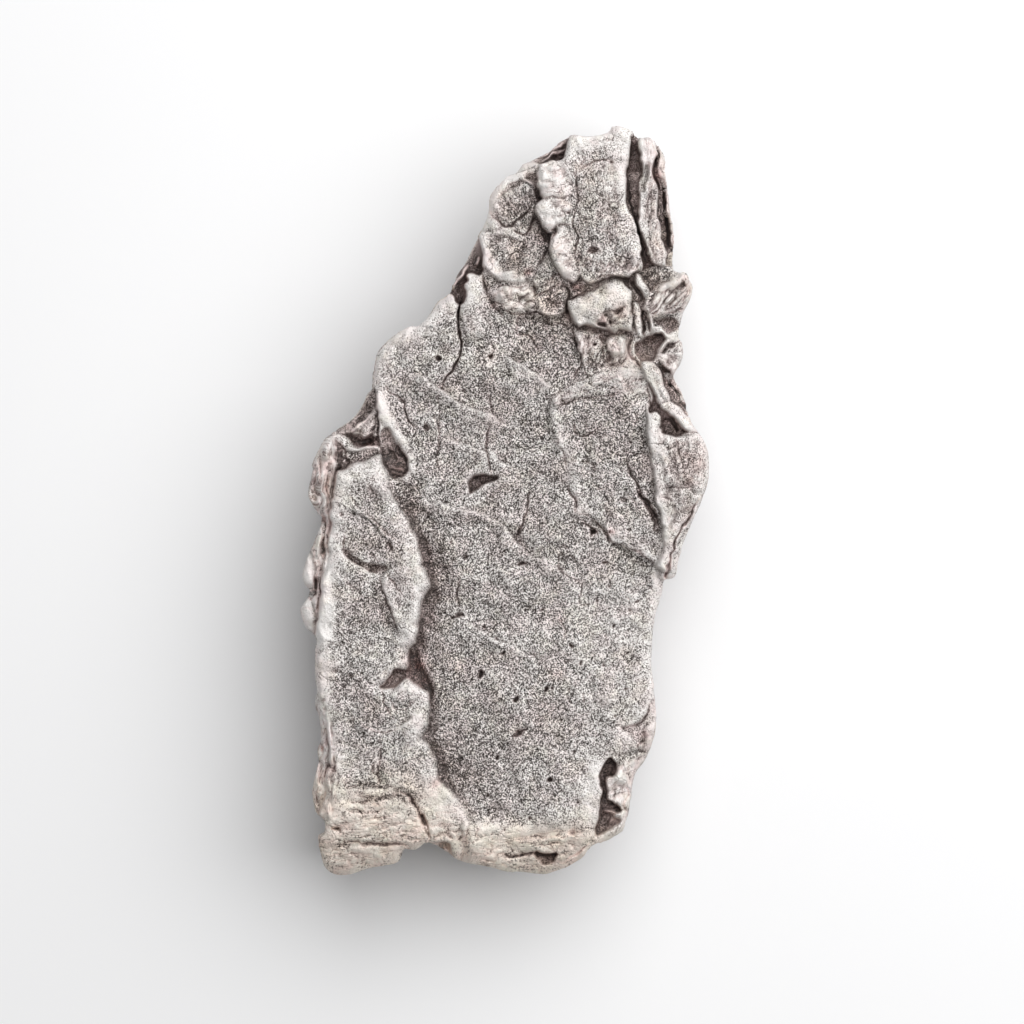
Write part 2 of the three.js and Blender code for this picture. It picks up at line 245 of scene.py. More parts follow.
front, back = blank_side(), blank_side()
worked = front                  # the side that the tools below work on
PLATES = 12                     # about how high the plates of the face stand
SUNK = 0.6                      # how much of the way down to its level a hollow goes


def within(loop, reach):
    """The part of the ground within reach of a loop, and how far inside it each place lies."""
    loop = rounded(loop, 4, closed=True)
    at = window(loop, reach)
    return at, inside_distance(bent_x[at], bent_y[at], loop)


def beside(path, reach):
    """The part of the ground within reach of a path, with its path_distance."""
    path = rounded(path, 4)
    at = window(path, reach)
    return at, *path_distance(bent_x[at], bent_y[at], path)


def at_least(mask, at, value):
    """Brings a part of a mask up to a value where it is lower."""
    mask[at] = np.maximum(mask[at], value)


def plate(loop, level, shoulder=0.8, drop=0.5, tilt=(0, 0), cliff=0.1):
    """Brings the side to a level inside a loop, raised or sunk. With t the share of the
    shoulder's width that a place lies in from the edge, it lies drop * (1 - sqrt(1 -
    (1 - t)^2)) under the level: a quarter circle. Noise makes the shoulder 0.07 to 0.77 and
    the drop 0.2 to 1 of what they are given as. A narrow cliff is outside, with painted shade
    along its foot."""
    at, inwards = within(loop, 0.6)
    crumbled = hills(0.7, level + 11.5, at)
    t = np.clip(inwards / (shoulder * (0.42 + 0.35 * crumbled)), 0, 1)
    middle = rounded(loop, 4, closed=True).mean(0)
    height = level + tilt[0] * (ground_x[at] - middle[0]) + tilt[1] * (ground_y[at] - middle[1])
    height = height - (0.6 + 0.4 * crumbled) * drop * (1 - np.sqrt(1 - (1 - t) ** 2))
    inside = smooth(-cliff, 0.02, inwards)
    worked.height[at] += (height - worked.height[at]) * inside
    for field in (worked.stain, worked.rust, worked.streaks):
        field[at] *= 1 - inside
    foot = smooth(0.16, 0.05, np.abs(inwards + 0.05)) * np.clip(0.3 + 0.7 * crumbled, 0, 1)
    worked.dark[at] *= 1 - inside
    at_least(worked.dark, at, 0.2 * foot)


def hollow(loop, level, brown=0.8, lip=0.45, fillet=0.3):
    """Sinks the face inside a loop, part of the way from the plates to a level. The ground
    outside rounds down to the edge over half the lip's width, the floor rounds up to the wall
    by the fillet, and noise makes it uneven."""
    at, inwards = within(loop, 1)
    worked.height[at] -= 0.3 * lip * np.clip(1 + 2 * inwards / lip, 0, 1) ** 2 * (inwards < 0)
    floor = PLATES - SUNK * (PLATES - level) + fillet * np.clip(1 - inwards / 0.5, 0, 1) ** 2
    floor = floor + 0.12 * hills(0.5, level, at)
    worked.height[at] += np.minimum(floor - worked.height[at], 0) * smooth(-0.12, 0.04, inwards)
    at_least(worked.stain, at, brown * smooth(-0.12, 0.1, inwards))


def split(path, width, depth, brown=0.95):
    """Opens a crack along a path, narrower and shallower towards its ends: with r the
    distance from the path over about a third of the width, its depth falls off as 1 - r^2
    from 0.55 of the depth. Painted shade darkens it, and it is brown from a little beyond its
    edges."""
    at, away, share, _ = beside(path, width + 0.5)
    taper = np.clip(6 * np.minimum(share, 1 - share), 0.35, 1)
    taper = taper * (0.85 + 0.3 * hills(0.8, 9.5, at))
    r = away / (0.34 * width * taper + 0.02)
    worked.height[at] -= 0.55 * depth * taper * np.clip(1 - r * r, 0, 1)
    at_least(worked.stain, at, brown * smooth(1.25, 0.5, r))
    at_least(worked.dark, at, brown * taper * smooth(1.3, 0.6, r))


def ridge(path, width, height, rub=0.5):
    """Raises a rounded rib along a path: a half circle in section, tapered at its ends."""
    at, away, share, _ = beside(path, width)
    taper = np.clip(4 * np.minimum(share, 1 - share), 0, 1) ** 0.5
    r = np.clip(away / (width / 2), 0, 1)
    worked.height[at] += height * taper * np.sqrt(1 - r * r)
    at_least(worked.polish, at, rub * taper * smooth(1, 0.4, r))


def step_down(path, height, reach=2.0):
    """A low step along a path: the ground to the right of the way it runs is raised at the
    edge and sinks back over the reach; the ground to the left dips at the foot."""
    at, away, share, side = beside(path, 2.5 * reach)
    fade = smooth(0, 0.18, np.minimum(share, 1 - share))
    raised = np.exp(-away / reach) * smooth(-0.05, 0.05, -side * away)
    foot = np.exp(-2 * away / reach) * smooth(-0.05, 0.05, side * away)
    fade = fade * (0.8 + 0.6 * hills(0.8, 13.5, at))
    worked.height[at] += height * fade * (raised - 0.5 * foot)


def pit(x, y, long, wide, turn=0.0, depth=0.6, brown=0.85):
    """Sinks an oval pit with steep sides, long by wide, turned by so many degrees; it is brown
    and darkened with painted shade.
    """
    x, y = x / 10, y / 10
    at = window([(x, y)], long + 0.3)
    off_x, off_y = bent_x[at] - x, bent_y[at] - y
    c, s = np.cos(np.radians(turn)), np.sin(np.radians(turn))
    r = np.hypot((off_x * c + off_y * s) / (long / 2), (off_y * c - off_x * s) / (wide / 2))
    worked.height[at] -= depth * smooth(1.15, 0.45, r)
    at_least(worked.stain, at, brown * smooth(1.2, 0.7, r))
    at_least(worked.dark, at, 0.7 * brown * smooth(1.2, 0.7, r))


def shade(path, width, amount):
    """Makes the metal along a path paler, or darker where the amount is below nought, with
    soft edges that wander: painted light and shade as well as the metal's own tone."""
    path = rounded(path, 4)
    at = window(path, width)
    x = ground_x[at] + 0.35 * hills(0.8, 14.5, at)
    y = ground_y[at] + 0.35 * hills(0.8, 15.5, at)
    away = path_distance(x, y, path)[0] / (width / 2)
    worked.shade[at] += amount * smooth(1.15, 0.25, away)


def facet(loop, amount, soft=0.5):
    """Makes the metal inside a loop paler or darker, fading in over a soft width: painted
    light and shade, such as painted shade in hollows, as well as the metal's own tone.
    """
    loop = rounded(loop, 4, closed=True)
    at = window(loop, 0.6)
    x = ground_x[at] + 0.3 * hills(0.7, 16.5, at)
    y = ground_y[at] + 0.3 * hills(0.7, 17.5, at)
    worked.shade[at] += amount * smooth(-0.1, soft, inside_distance(x, y, loop))


def fibres(loop, turn, long, wide, height, dark=0.6):
    """Draws fine ribs inside a loop, running at so many degrees: noise drawn out along them,
    whose creases, where the noise is near nought, are low and brown, with painted shade. It
    also notes that the metal is streaky there, and which way the streaks lie."""
    at, inwards = within(loop, 0.3)
    c, s = np.cos(np.radians(turn)), np.sin(np.radians(turn))
    along = (bent_x[at] * c + bent_y[at] * s) / long
    across = (bent_y[at] * c - bent_x[at] * s) / wide
    ribs = np.abs(swell(along, across, 33.5 + turn))
    inside = smooth(0, 0.25, inwards)
    worked.height[at] += height * inside * (2 * ribs - 0.5)
    for mask in (worked.dark, worked.stain):
        at_least(mask, at, dark * inside * smooth(0.14, 0.03, ribs))
    at_least(worked.streaks, at, dark * inside)
    for field, value in ((worked.lie_x, c), (worked.lie_y, s)):
        field[at] = np.where(inside > 0, value, field[at])


def tint(mask, *spots):
    """Adds soft spots to one of the masks, broken up by noise. Each is given as x, y, its
    radius and its strength, which falls off as e^-(distance / radius)^2."""
    for x, y, radius, strength in spots:
        x, y = x / 10, y / 10
        at = window([(x, y)], 2 * radius)
        away = np.hypot(ground_x[at] - x, ground_y[at] - y) / radius
        patchy = 0.6 + 0.6 * hills(0.35, radius, at)
        at_least(mask, at, strength * np.exp(-away * away) * np.clip(patchy, 0, 1.2))


# ---------------------------------------------------------
# The broad middle of the face: flat, with low steps that slant across it where one plate
# of the metal's lattice gives way to the next, and rolled down at the broad end.
# ---------------------------------------------------------
FACE_LEVEL = 11.5


def each(tool, *rows):
    """Puts a tool to work on one row of values after another."""
    for row in rows:
        tool(*row)


front.height += FACE_LEVEL
front.height += 0.28 * hills(6, 5.5)
front.height += 0.1 * hills(2.1, 6.5)
slant_x = 0.88 * ground_x - 0.47 * ground_y
slant_y = 0.47 * ground_x + 0.88 * ground_y
front.height += 0.09 * swell(slant_x / 5, slant_y / 1.1, 7.5)

each(step_down,
    ([-79, 104, -63, 97, -51, 89, -40, 81, -27, 76, -13, 69.5, 6, 59], 0.55),
    ([-4, 120, 10, 111, 22, 104, 31, 97, 39, 90], 0.5),
    ([-54, 51, -40, 48, -30, 45, -20, 41, -9, 38], 0.3),
    ([-12, 43, -4, 33, 1, 29.5, 15, 23], 0.4),
    ([-72, 4, -62, 0, -46, -3, -28, -6, -14, -12, -1, -21, 15, -38, 26, -44, 40, -49, 62, -65],
     0.45),
    ([-45, -82, -26, -99, -2, -112, 19, -122, 30, -131], 0.25),
    ([-15, -10, 15, -9, 32, -20, 46, -32], 0.12),
)
# each step gets a painted highlight on its crest and painted shade below it, and a broad band
# of painted shade lies on the face beside the left plate's trough
each(shade,
    ([-80, 109, -62, 98, -46, 89, -30, 81, -10, 72, 4, 63, 14, 53], 0.9, 0.05),
    ([-80, 97, -64, 90, -49, 81, -30, 72, -12, 63, 2, 54], 1, -0.08),
    ([-16, 116, 0, 111, 20, 101, 37, 89], 1, 0.13),
    ([-74, 8, -62, 3, -46, 0, -28, -3, -12, -10, 1, -19, 16, -35, 28, -41, 42, -46, 62, -62], 0.9,
     0.04),
    ([-62, -7, -46, -10, -28, -13, -12, -20, 1, -29, 16, -45, 28, -51, 42, -56], 1, -0.06),
    ([-54, 54, -40, 51, -20, 44, -6, 39, 4, 32, 16, 26], 0.8, 0.12),
    ([-45, -80, -26, -96, -2, -109, 19, -119, 30, -128], 1, 0.06),
    ([-84, 6, -72, -10, -59, -34, -54, -56, -50, -74, -56, -100, -60, -122, -53, -148, -50, -180,
     -48, -202, -36, -226], 3.2, -0.13),
    ([-30, -130, -16, -160, -8, -190], 4.5, -0.04),
    ([94, -60, 98, -90, 100, -120, 96, -150, 96, -180], 3.4, 0.13),
    ([66, -80, 70, -120, 68, -160, 66, -200, 64, -244], 4, 0.13),
    ([-15, -254, 15, -256, 45, -252], 2.6, 0.1),
    ([-29, -194, -16, -214, -14, -234, 6, -236], 3, -0.09),
    ([-60, 36, -54, 24], 2, -0.09),
    ([6, 29, 22, 25, 36, 22, 46, 12], 1.4, -0.1),
    ([-104, 116, -86, 129, -62, 144, -48, 159], 2.2, 0.13),
    ([-110, 96, -104, 80, -94, 62, -82, 46, -74, 28], 1.4, 0.12),
    ([-29, 176, -28, 162, -22, 146], 1.5, 0.1),
)
facet([-48, 90, -40, 102, -20, 102, 4, 88, 16, 78, 32, 66, 26, 52, 18, 52, 6, 67, -8, 75, -28, 83],
    -0.09)
for path in (
    [-53.5, 84, -53, 70, -54, 56, -53, 43],
    [-11.5, 83, -12, 74, -11, 67],
    [-13.5, 61, -12.5, 50, -13.5, 40, -13.5, 32],
):
    split(path, 0.15, 0.25, 0.7)

# ---------------------------------------------------------
# The narrow end: a thick slab stands highest, with a thinner plate beside it on the left
# and, on the right, laths that have split away from it along old cracks.
# ---------------------------------------------------------
plate([-32, 206, -24, 220, -19, 244, -9, 261, 14, 274, 48, 271, 50, 220, 46, 177, 22, 175, 6, 175,
    -6, 179, -15, 186, -19, 197], 12.1, shoulder=0.8, drop=0.4, tilt=(-0.04, 0))
ridge([-20, 208, -17, 195, -13, 186, -5, 181, 4, 178, 13, 174], 1.3, 0.2, rub=0.4)
shade([-20, 210, -17, 196, -11, 186, 0, 180, 14, 173], 1.5, 0.16)
shade([-19, 222, -14, 238, -9, 249, 2, 258, 16, 266, 30, 270], 1.4, 0.17)
each(facet,
    ([-28, 204, -18, 242, -6, 260, 26, 272, 49, 270, 46, 176, 8, 174, -16, 184], 0.07),
    ([-9, 229, -5, 240, 3, 247, 13, 251, 23, 249, 26, 236, 23, 224, 18, 215, 12, 223, 3, 220,
     -4, 223], -0.12),
    ([23, 228, 26, 236, 29, 222, 35, 214, 37, 204, 33, 196, 26, 204, 21, 214], -0.2),
    ([-9, 209, 8, 211, 18, 212, 28, 202, 31, 196, 26, 184, 20, 178, 6, 183, -4, 189, -10, 197],
     -0.09),
)
fibres([-19, 206, -16, 192, -8, 182, 6, 177, 20, 175, 24, 184, 30, 196, 22, 208, 6, 210, -6, 214],
    40, 1, 0.6, 0.2, dark=0.35)
fibres([-16, 220, -6, 216, 6, 216, 18, 216, 30, 220, 24, 246, 8, 252, -8, 240], 115, 0.9, 0.55,
    0.16, dark=0.35)
ridge([-12, 224, -4, 216, 6, 215, 15, 212], 1.1, 0.2, rub=0.3)
each(split,
    ([-11, 232, -9, 228, -3, 222, 4, 220.5, 9, 224, 15, 229, 21, 235], 0.3, 0.4),
    ([22.5, 232, 22.5, 225, 20, 218, 17, 213.5, 12, 215, 5, 220], 0.3, 0.4),
    ([-14, 211, -6, 211.5, 1, 210, 9, 208], 0.16, 0.2, 0.6),
    ([22, 178, 26, 186, 31, 194, 35, 203], 0.3, 0.6),
    ([-6, 242, 1, 248, 8, 253, 18, 255], 0.9, 0.5, 0.5),
)
hollow([16, 261, 20, 263, 29, 259, 30, 252, 27, 249, 23, 252, 18, 255], 11.4, brown=0.5, lip=0.1)
split([26, 251, 27, 245, 29, 240, 32, 242], 0.9, 0.9, 0.8)
split([29, 218, 33, 212, 36, 205], 1.1, 0.5, 0.5)
ridge([15, 257.5, 19.5, 255, 24.5, 251], 0.24, 0.4, rub=0.9)
facet([25, 176, 29, 186, 35, 197, 40, 194, 43, 182, 47, 176], -0.06)
tint(front.rust, (19, 183, 0.35, 0.9), (8, 195, 0.7, 0.3))

# the torn corner left of the slab's tip, a bundle of fibres
hollow([13, 271.5, 26, 270, 38, 270, 48, 272, 51, 283, 55, 298, 40, 296, 26, 283], 10.6,
    brown=0.75, lip=0.1)
for offset in (0, 4.2, 8):
    ridge([19 + offset, 275 - offset / 2, 33 + offset, 281 - offset / 3, 47 + offset / 3,
        291 - offset], 0.26, 0.8 - offset / 30, rub=0.75)
fibres([14, 271, 28, 269, 48, 272, 54, 294, 40, 294, 26, 282], 38, 1.4, 0.3, 0.3)

# the gap right of the slab with its two laths
hollow([102, 305, 98, 280, 96, 250, 104, 224, 108, 200, 107, 182, 138, 184, 146, 240, 136, 305],
    10.4, brown=0.5, lip=0.1)
hollow([101.5, 288, 104, 288, 106.5, 282, 107, 272, 105, 264, 100, 264, 99.5, 276], 9.6,
    brown=0.85, lip=0.1)
plate([109, 299, 107, 284, 107.5, 272, 109, 263, 107.5, 250, 107, 235, 108, 219, 112, 207,
    116, 197, 119, 188, 128, 186, 127.5, 200, 124, 218, 122, 228, 121.5, 245, 118, 258, 118, 269,
    121, 282, 120, 299], 12.9, shoulder=0.5, drop=0.5, tilt=(-0.2, 0.06))
plate([112, 268, 109.5, 263, 108.5, 255, 107.5, 248, 110.5, 248, 113, 256, 114, 264], 12.2,
    shoulder=0.25, drop=0.25)
plate([123, 292, 123.5, 280, 124, 266, 127, 254, 130.5, 254, 134, 270, 130, 290], 12, shoulder=0.3,
    drop=0.3)
plate([130.5, 256, 130, 243, 129.5, 229, 132.5, 218, 133.5, 208, 134, 198, 135, 185, 142, 186,
    142, 220, 136, 258], 11.8, shoulder=0.25, drop=0.3)
fibres([111, 296, 111, 270, 110, 230, 118, 187, 128, 186, 123, 226, 120, 256, 121, 296], 88, 1.8,
    0.45, 0.22, dark=0.5)
fibres([122, 292, 124, 260, 130, 220, 133, 185, 144, 186, 142, 240, 132, 294], 86, 2, 0.35, 0.3)
each(split,
    ([119.5, 279, 121, 270, 120.5, 262, 121.5, 254, 124, 247], 0.34, 1.2),
    ([119, 259, 116, 246, 117.5, 232, 116, 220], 0.14, 0.3, 0.6),
    ([102.5, 296, 104, 289], 0.25, 1),
)
shade([105, 282, 103.5, 264, 104, 246, 107, 226], 1, 0.14)
split([98, 258, 100.5, 236, 106, 220, 108, 210, 111.5, 199, 114, 186], 0.3, 1.1)
split([125, 266, 128, 244, 129, 224, 131, 208, 132.5, 194], 0.4, 1)
tint(front.rust, (120.5, 261, 0.4, 0.8), (113, 189, 0.45, 0.6))

# the slab, with a column of three lumps along its left edge, and the rubble at its foot
plate([22, 176, 28, 171, 46, 170, 52, 162, 64, 165, 76, 171, 88, 178, 100, 182, 90, 190, 40, 195,
    28, 186], 12.2, shoulder=0.6, drop=0.3, cliff=0.4)
plate([56, 310, 52, 290, 49, 280, 46, 272.5, 36, 271, 29, 269, 28.5, 260, 27, 253, 31, 245,
    29, 240, 26, 235, 28, 228, 30, 220, 35, 214.5, 38.5, 215, 37.5, 209.5, 36, 204, 38, 194,
    42, 184, 47, 178.5, 53, 177, 60, 181, 65, 177, 73, 175, 82, 178, 90, 179, 101, 180, 109, 183,
    109.5, 195, 109, 203, 105, 216, 104, 222, 98.5, 230, 96, 237, 95.5, 250, 97, 263, 99.5, 280,
    102, 296, 96, 310], 13.4, shoulder=0.8, drop=0.35, tilt=(0, 0.045))
LUMPS = (
    [27, 259, 30, 266, 38, 269, 49, 267, 54, 262, 56, 252, 55, 244, 46, 243, 38, 243, 32, 241,
     28, 248],
    [30, 240, 27, 234, 28, 226, 31, 219, 36, 215, 41, 219, 50, 224, 54, 232, 52, 240, 44, 242],
    [40, 216, 38, 208, 37, 200, 39, 192, 43, 184, 48, 179, 54, 180, 56, 188, 55, 198, 57, 208,
     54, 216, 47, 220],
)
for lump, level in zip(LUMPS, (13.75, 13.6, 13.35)):
    plate(lump, level, shoulder=0.7, drop=0.35, cliff=0.2)
    facet(lump, 0.2, soft=0.4)
    fibres(lump, 20, 0.7, 0.5, 0.12, dark=0.4)
fibres([58, 204, 66, 196, 80, 194, 96, 200, 106, 196, 107, 184, 86, 180, 66, 182, 58, 189], 75,
    0.8, 0.5, 0.16, dark=0.55)
fibres([58, 268, 58, 210, 84, 204, 92, 230, 88, 266, 74, 272], 100, 0.7, 0.5, 0.08, dark=0.35)
each(facet,
    ([58, 270, 59, 244, 58, 220, 60, 200, 64, 188, 76, 184, 94, 186, 102, 196, 99, 214, 91, 232,
     89, 256, 87, 270, 74, 275], 0.06),
    ([53, 288, 64, 294, 82, 299, 98, 304, 102, 284, 98, 260, 97, 240, 102, 226, 106, 210, 109, 192,
     106, 184, 101, 196, 101, 214, 92, 234, 90, 260, 86, 277, 72, 279, 59, 276, 50, 272], 0.2),
    ([80, 294, 87, 302, 94, 294, 90, 286, 83, 286], -0.12),
    ([62, 224, 74, 222, 82, 212, 78, 202, 66, 202, 59, 212], -0.07),
)
each(split,
    ([57.5, 269, 57.5, 259, 57, 249, 58.5, 242, 56, 233, 55, 224, 57.5, 214, 57.5, 203, 57.5, 192,
     59, 182], 0.26, 0.3, 0.65),
    ([29, 241, 36, 243, 44, 242.5, 53, 243], 0.16, 0.25, 0.5),
    ([35, 215, 41, 219, 47, 221, 54, 221], 0.2, 0.3, 0.6),
    ([43, 249, 46, 243, 49, 237], 0.14, 0.2, 0.6),
    ([59, 263, 66, 269, 72, 271, 80, 272.5, 86, 270], 0.3, 0.25, 0.6),
    ([35, 215, 39.5, 216.5, 38, 209], 0.34, 0.8),
    ([61, 276, 63, 272, 60, 266], 0.2, 0.2, 0.5),
    ([87, 254, 89, 242, 90, 232], 0.14, 0.15, 0.5),
    ([64, 216, 70, 224, 79, 226], 0.14, 0.12, 0.4),
    ([89, 214, 87, 202, 89, 190], 0.14, 0.15, 0.55),
    ([66, 248, 74, 246, 80, 240], 0.14, 0.15, 0.5),
    ([79, 290, 84, 287, 90, 289], 0.14, 0.12, 0.5),
    ([68, 287, 72, 285, 76, 286], 0.14, 0.12, 0.4),
    ([71, 175, 79, 179, 89, 179, 98, 182], 0.2, 0.3, 0.7),
)
each(pit,
    (70, 200, 0.9, 0.55, 10, 0.5), (51, 229, 0.25, 0.2), (83, 270, 0.35, 0.25, 0, 0.3),
    (44, 190, 0.3, 0.2, 0, 0.25, 0.6), (57, 202, 0.25, 0.2, 0, 0.25, 0.6),
)

# the wedge-shaped hollow in the left flank, crossed by two thin blades
hollow([-50, 170, -43, 165, -37, 159, -33.5, 160, -33.5, 169, -31.5, 176, -27, 182, -20, 182.5,
    -17.5, 190, -17.5, 198, -20.5, 206, -25, 209, -32, 200, -40, 188, -46, 179], 8.4, brown=0.95,
    lip=0.15)
each(ridge,
    ([-45, 168, -39, 175, -33, 181, -29, 189], 0.2, 2.2, 0.9),
    ([-46, 173, -40, 183, -34, 191, -28, 200, -25, 208], 0.24, 2.6, 0.7),
    ([-22, 189, -20, 196], 0.2, 1.5, 0.4),
)

# ---------------------------------------------------------
# The middle: small plates that lie against each other under the slab, and the nugget, a
# smooth lump of metal that sits in a crack between them and the right flank.
# ---------------------------------------------------------
ridge([-26.5, 180, -27, 170, -25.5, 158, -23, 144, -20, 130], 2.1, 0.5, rub=0.35)
each(split,
    ([-35, 166, -36.5, 156, -37, 143, -36.5, 133, -33.5, 127, -35, 116, -39, 110, -44, 103,
     -49, 97, -51.5, 89], 0.34, 1.3),
    ([-36, 164, -36.5, 152, -37, 142], 0.3, 1.2),
    ([-19, 183, -15, 172, -12, 163, -7, 154, -2, 148.5], 0.42, 0.9, 0.75),
)
plate([-11, 168, -5, 171, 6, 171.5, 17, 171, 21.5, 167, 23, 162, 26, 155, 24, 151, 10, 150, 1, 152,
    -6, 156, -9, 162], 12, shoulder=0.9, drop=0.25, cliff=0.4)
facet([-9, 170, 6, 174, 20, 174, 25, 166, 23, 156, 18, 151, 6, 151, -5, 155], 0.17, soft=0.3)
each(ridge,
    ([-5, 165, 3, 167, 10, 165], 1.1, 0.25),
    ([12, 169, 18, 166, 21, 160], 0.8, 0.25),
    ([2, 157, 10, 156, 18, 155], 0.7, 0.2, 0.3),
    ([20, 175, 24, 170, 25, 164], 0.8, 0.3, 0.4),
    ([10, 176, 16, 174.5], 0.7, 0.2, 0.4),
    ([30, 165, 38, 163, 45, 164], 1.1, 0.3, 0.1),
    ([32, 154, 40, 153, 47, 153], 0.9, 0.25, 0.1),
    ([26, 182, 32, 186, 39, 185], 1, 0.25, 0.1),
    ([54, 171, 60, 174, 66, 173], 0.6, 0.3, 0.1),
)
split([36, 177, 43, 180, 46, 176], 0.16, 0.3, 0.7)
split([-17, 179, -13, 172, -11, 166, -9, 159, -4, 154], 0.6, 0.3, 0.25)
fibres([-10, 169, 10, 174, 26, 179, 46, 176, 50, 160, 44, 148, 26, 150, 4, 150, -8, 156], 35, 0.7,
    0.55, 0.22, dark=0.5)
each(split,
    ([9, 169, 12, 164, 11, 159, 15, 154], 0.16, 0.3, 0.5),
    ([-8, 171, 2, 172, 11, 171.5, 19, 172], 0.2, 0.3, 0.6),
    ([19, 170, 24, 165, 26, 159, 31, 153], 0.2, 0.3, 0.6),
)
tint(front.polish, (2, 168, 0.9, 0.7), (14, 162, 0.7, 0.6), (-27, 176, 0.8, 0.9),
    (26, 170, 0.5, 0.6), (-46, 159, 1, 0.85), (-72, 135, 1.2, 0.8), (-96, 117, 1.3, 0.9),
    (31, 266, 0.8, 0.8))
plate([25, 163, 27, 168, 35, 172, 45, 172, 49, 167, 51, 158, 45, 151, 35, 149, 28, 154], 12.1,
    shoulder=0.6, drop=0.2, cliff=0.3)
facet([26, 164, 34, 172, 46, 171, 50, 159, 44, 146, 32, 144, 27, 152], -0.1)
facet([12, 148, 30, 148, 50, 146, 54, 136, 60, 122, 58, 106, 55, 97, 42, 91, 34, 98, 22, 106,
    6, 114, -8, 121, 9, 128, 12, 134], -0.09)
each(split,
    ([22, 177, 23, 170, 24, 164, 31, 166, 38, 169.5, 45, 173], 0.2, 0.35, 0.7),
    ([46, 175, 50, 169, 50.5, 162, 50, 154, 51, 146], 0.36, 0.6, 0.9),
    ([-9, 156, -2, 152, 9, 150.5, 20, 149.5, 28, 151, 36, 148], 0.2, 0.35, 0.65),
    ([11, 149.5, 11, 142, 11.5, 134, 20, 133, 23, 128, 28, 120], 0.2, 0.35, 0.8),
    ([31, 145, 37, 141, 45, 144, 51, 139], 0.16, 0.3, 0.6),
    ([33, 162, 40, 158, 47, 159], 0.16, 0.2, 0.7),
)
pit(-12, 117, 0.55, 0.4, turn=60)
split([-11.5, 129, -11, 122, -12, 117], 0.14, 0.25, 0.7)
tint(front.rust, (57, 171.5, 0.45, 1), (52, 175, 0.3, 0.6), (43, 156, 0.7, 0.35),
    (49, 146, 0.6, 0.35), (-9, 156, 0.4, 0.5), (39, 164, 0.6, 0.25), (32, 133, 0.9, 0.2))

# the nugget, and the crevice that it sits in
facet([49, 173, 60, 179, 72, 174, 76, 170, 64, 165, 52, 163], -0.16)
each(split,
    ([50, 146, 49.5, 154, 51, 160, 60, 164.5, 68, 167.5], 0.3, 0.3, 0.6),
    ([68, 167.5, 74, 173, 83, 177.5, 92, 178, 99, 175, 103, 169], 0.36, 0.45, 0.7),
    ([96, 179, 101, 176, 104, 168, 103, 159], 0.55, 1, 0.85),
    ([103, 160, 102.5, 150, 103, 142], 0.4, 0.8, 0.8),
    ([51, 146, 56, 141, 66, 141, 73, 138, 81, 136, 87, 133, 96, 133, 103, 134], 0.16, 0.25, 0.5),
)
plate([51.5, 155, 53, 160, 61, 163, 69, 166, 76, 171, 84, 175, 91, 175, 97, 172, 101, 165,
    100.5, 156, 102.5, 146, 104, 138, 98, 135, 92, 138, 87, 135, 82, 137, 74, 140, 66, 143,
    59, 142, 54, 146], 13.1, shoulder=2.4, drop=1.1)
facet([53, 156, 64, 163, 78, 171, 90, 173, 99, 169, 100, 158, 88, 157, 78, 152, 66, 148, 55, 149],
    0.14)
facet([73, 149, 83, 151, 96, 154, 99, 144, 92, 139, 80, 139], -0.1)
tint(front.polish, (66, 154, 1.7, 1), (89, 165, 1.4, 1))
fibres([72, 142, 74, 152, 84, 155, 97, 156, 99, 144, 90, 139, 82, 139], 50, 0.5, 0.45, 0.25,
    dark=0.55)
split([77, 150, 82, 153, 89, 152, 95, 155], 0.26, 0.2, 0.5)
split([77, 149, 79, 144, 81, 139, 85, 136], 0.4, 0.4, 0.8)
each(pit,
    (77.5, 141.5, 0.9, 0.45, -20, 0.7), (80.5, 149, 0.5, 0.35, 0, 0.4, 0.7),
    (91, 151.5, 0.8, 0.45, 20, 0.35, 0.55), (85, 143, 0.35, 0.3, 0, 0.3, 0.6),
)
tint(front.rust, (79, 144, 0.4, 0.35), (92, 152, 0.4, 0.3))

# ---------------------------------------------------------
# The right flank above the upper plate: torn laths and leaves with pockets between them.
# ---------------------------------------------------------
plate([102.5, 182, 138, 187, 154, 184, 158, 165, 150, 135, 150, 115, 138, 96, 124, 104, 112, 110,
    103, 119, 101.5, 135, 103.5, 155], 11.4, shoulder=0.3, drop=0.2)
plate([112, 152, 113, 164, 121, 172, 128, 177, 135, 180, 144, 184, 156, 176, 156, 162, 146, 153,
    136, 151.5, 128, 149.5, 119, 147], 12, shoulder=0.9, drop=0.45, cliff=0.2)
facet([111, 182, 120, 185, 136, 183, 126, 177, 120, 172, 114, 166, 113, 172], -0.14, soft=0.2)
for path, width, height in (
    ([119, 150, 121, 159, 125, 167, 131, 173, 138, 177], 0.7, 0.2),
    ([135, 154, 140, 160, 146, 166, 149, 172], 0.6, 0.2),
    ([139, 181, 145, 179, 149, 174], 0.7, 0.2),
):
    ridge(path, width, height, rub=0.3)
    shade(path, 1.4 * width, 0.12)
each(fibres,
    ([115, 149, 117, 164, 128, 176, 144, 183, 155, 174, 154, 162, 144, 154, 130, 151], 52, 1.3,
     0.42, 0.34, 0.75),
    ([112, 181, 136, 184, 124, 175, 114, 166], 30, 0.8, 0.5, 0.1, 0.5),
    ([126, 122, 142, 130, 152, 144, 152, 114, 142, 94, 132, 102, 126, 112], 55, 1.5, 0.5, 0.3),
)
each(split,
    ([123, 151, 126, 159, 131, 166, 138, 172, 145, 174], 0.2, 0.3, 0.6),
    ([136, 170, 141, 173, 146, 173], 0.5, 0.4, 0.8),
    ([133, 153, 134, 159, 139, 164, 145, 169], 0.3, 0.3, 0.7),
    ([129, 150.5, 136, 152, 143, 154], 0.3, 0.5, 0.8),
    ([113, 165, 119, 170, 124, 174.5, 131, 178], 0.24, 0.3, 0.7),
    ([113, 158, 118, 162, 120, 169], 0.2, 0.2, 0.6),
    ([115, 153, 118, 157, 119, 163], 0.2, 0.2, 0.6),
)
split([101, 179, 104, 173, 106, 167, 108, 162, 105, 159], 0.5, 1, 0.7)
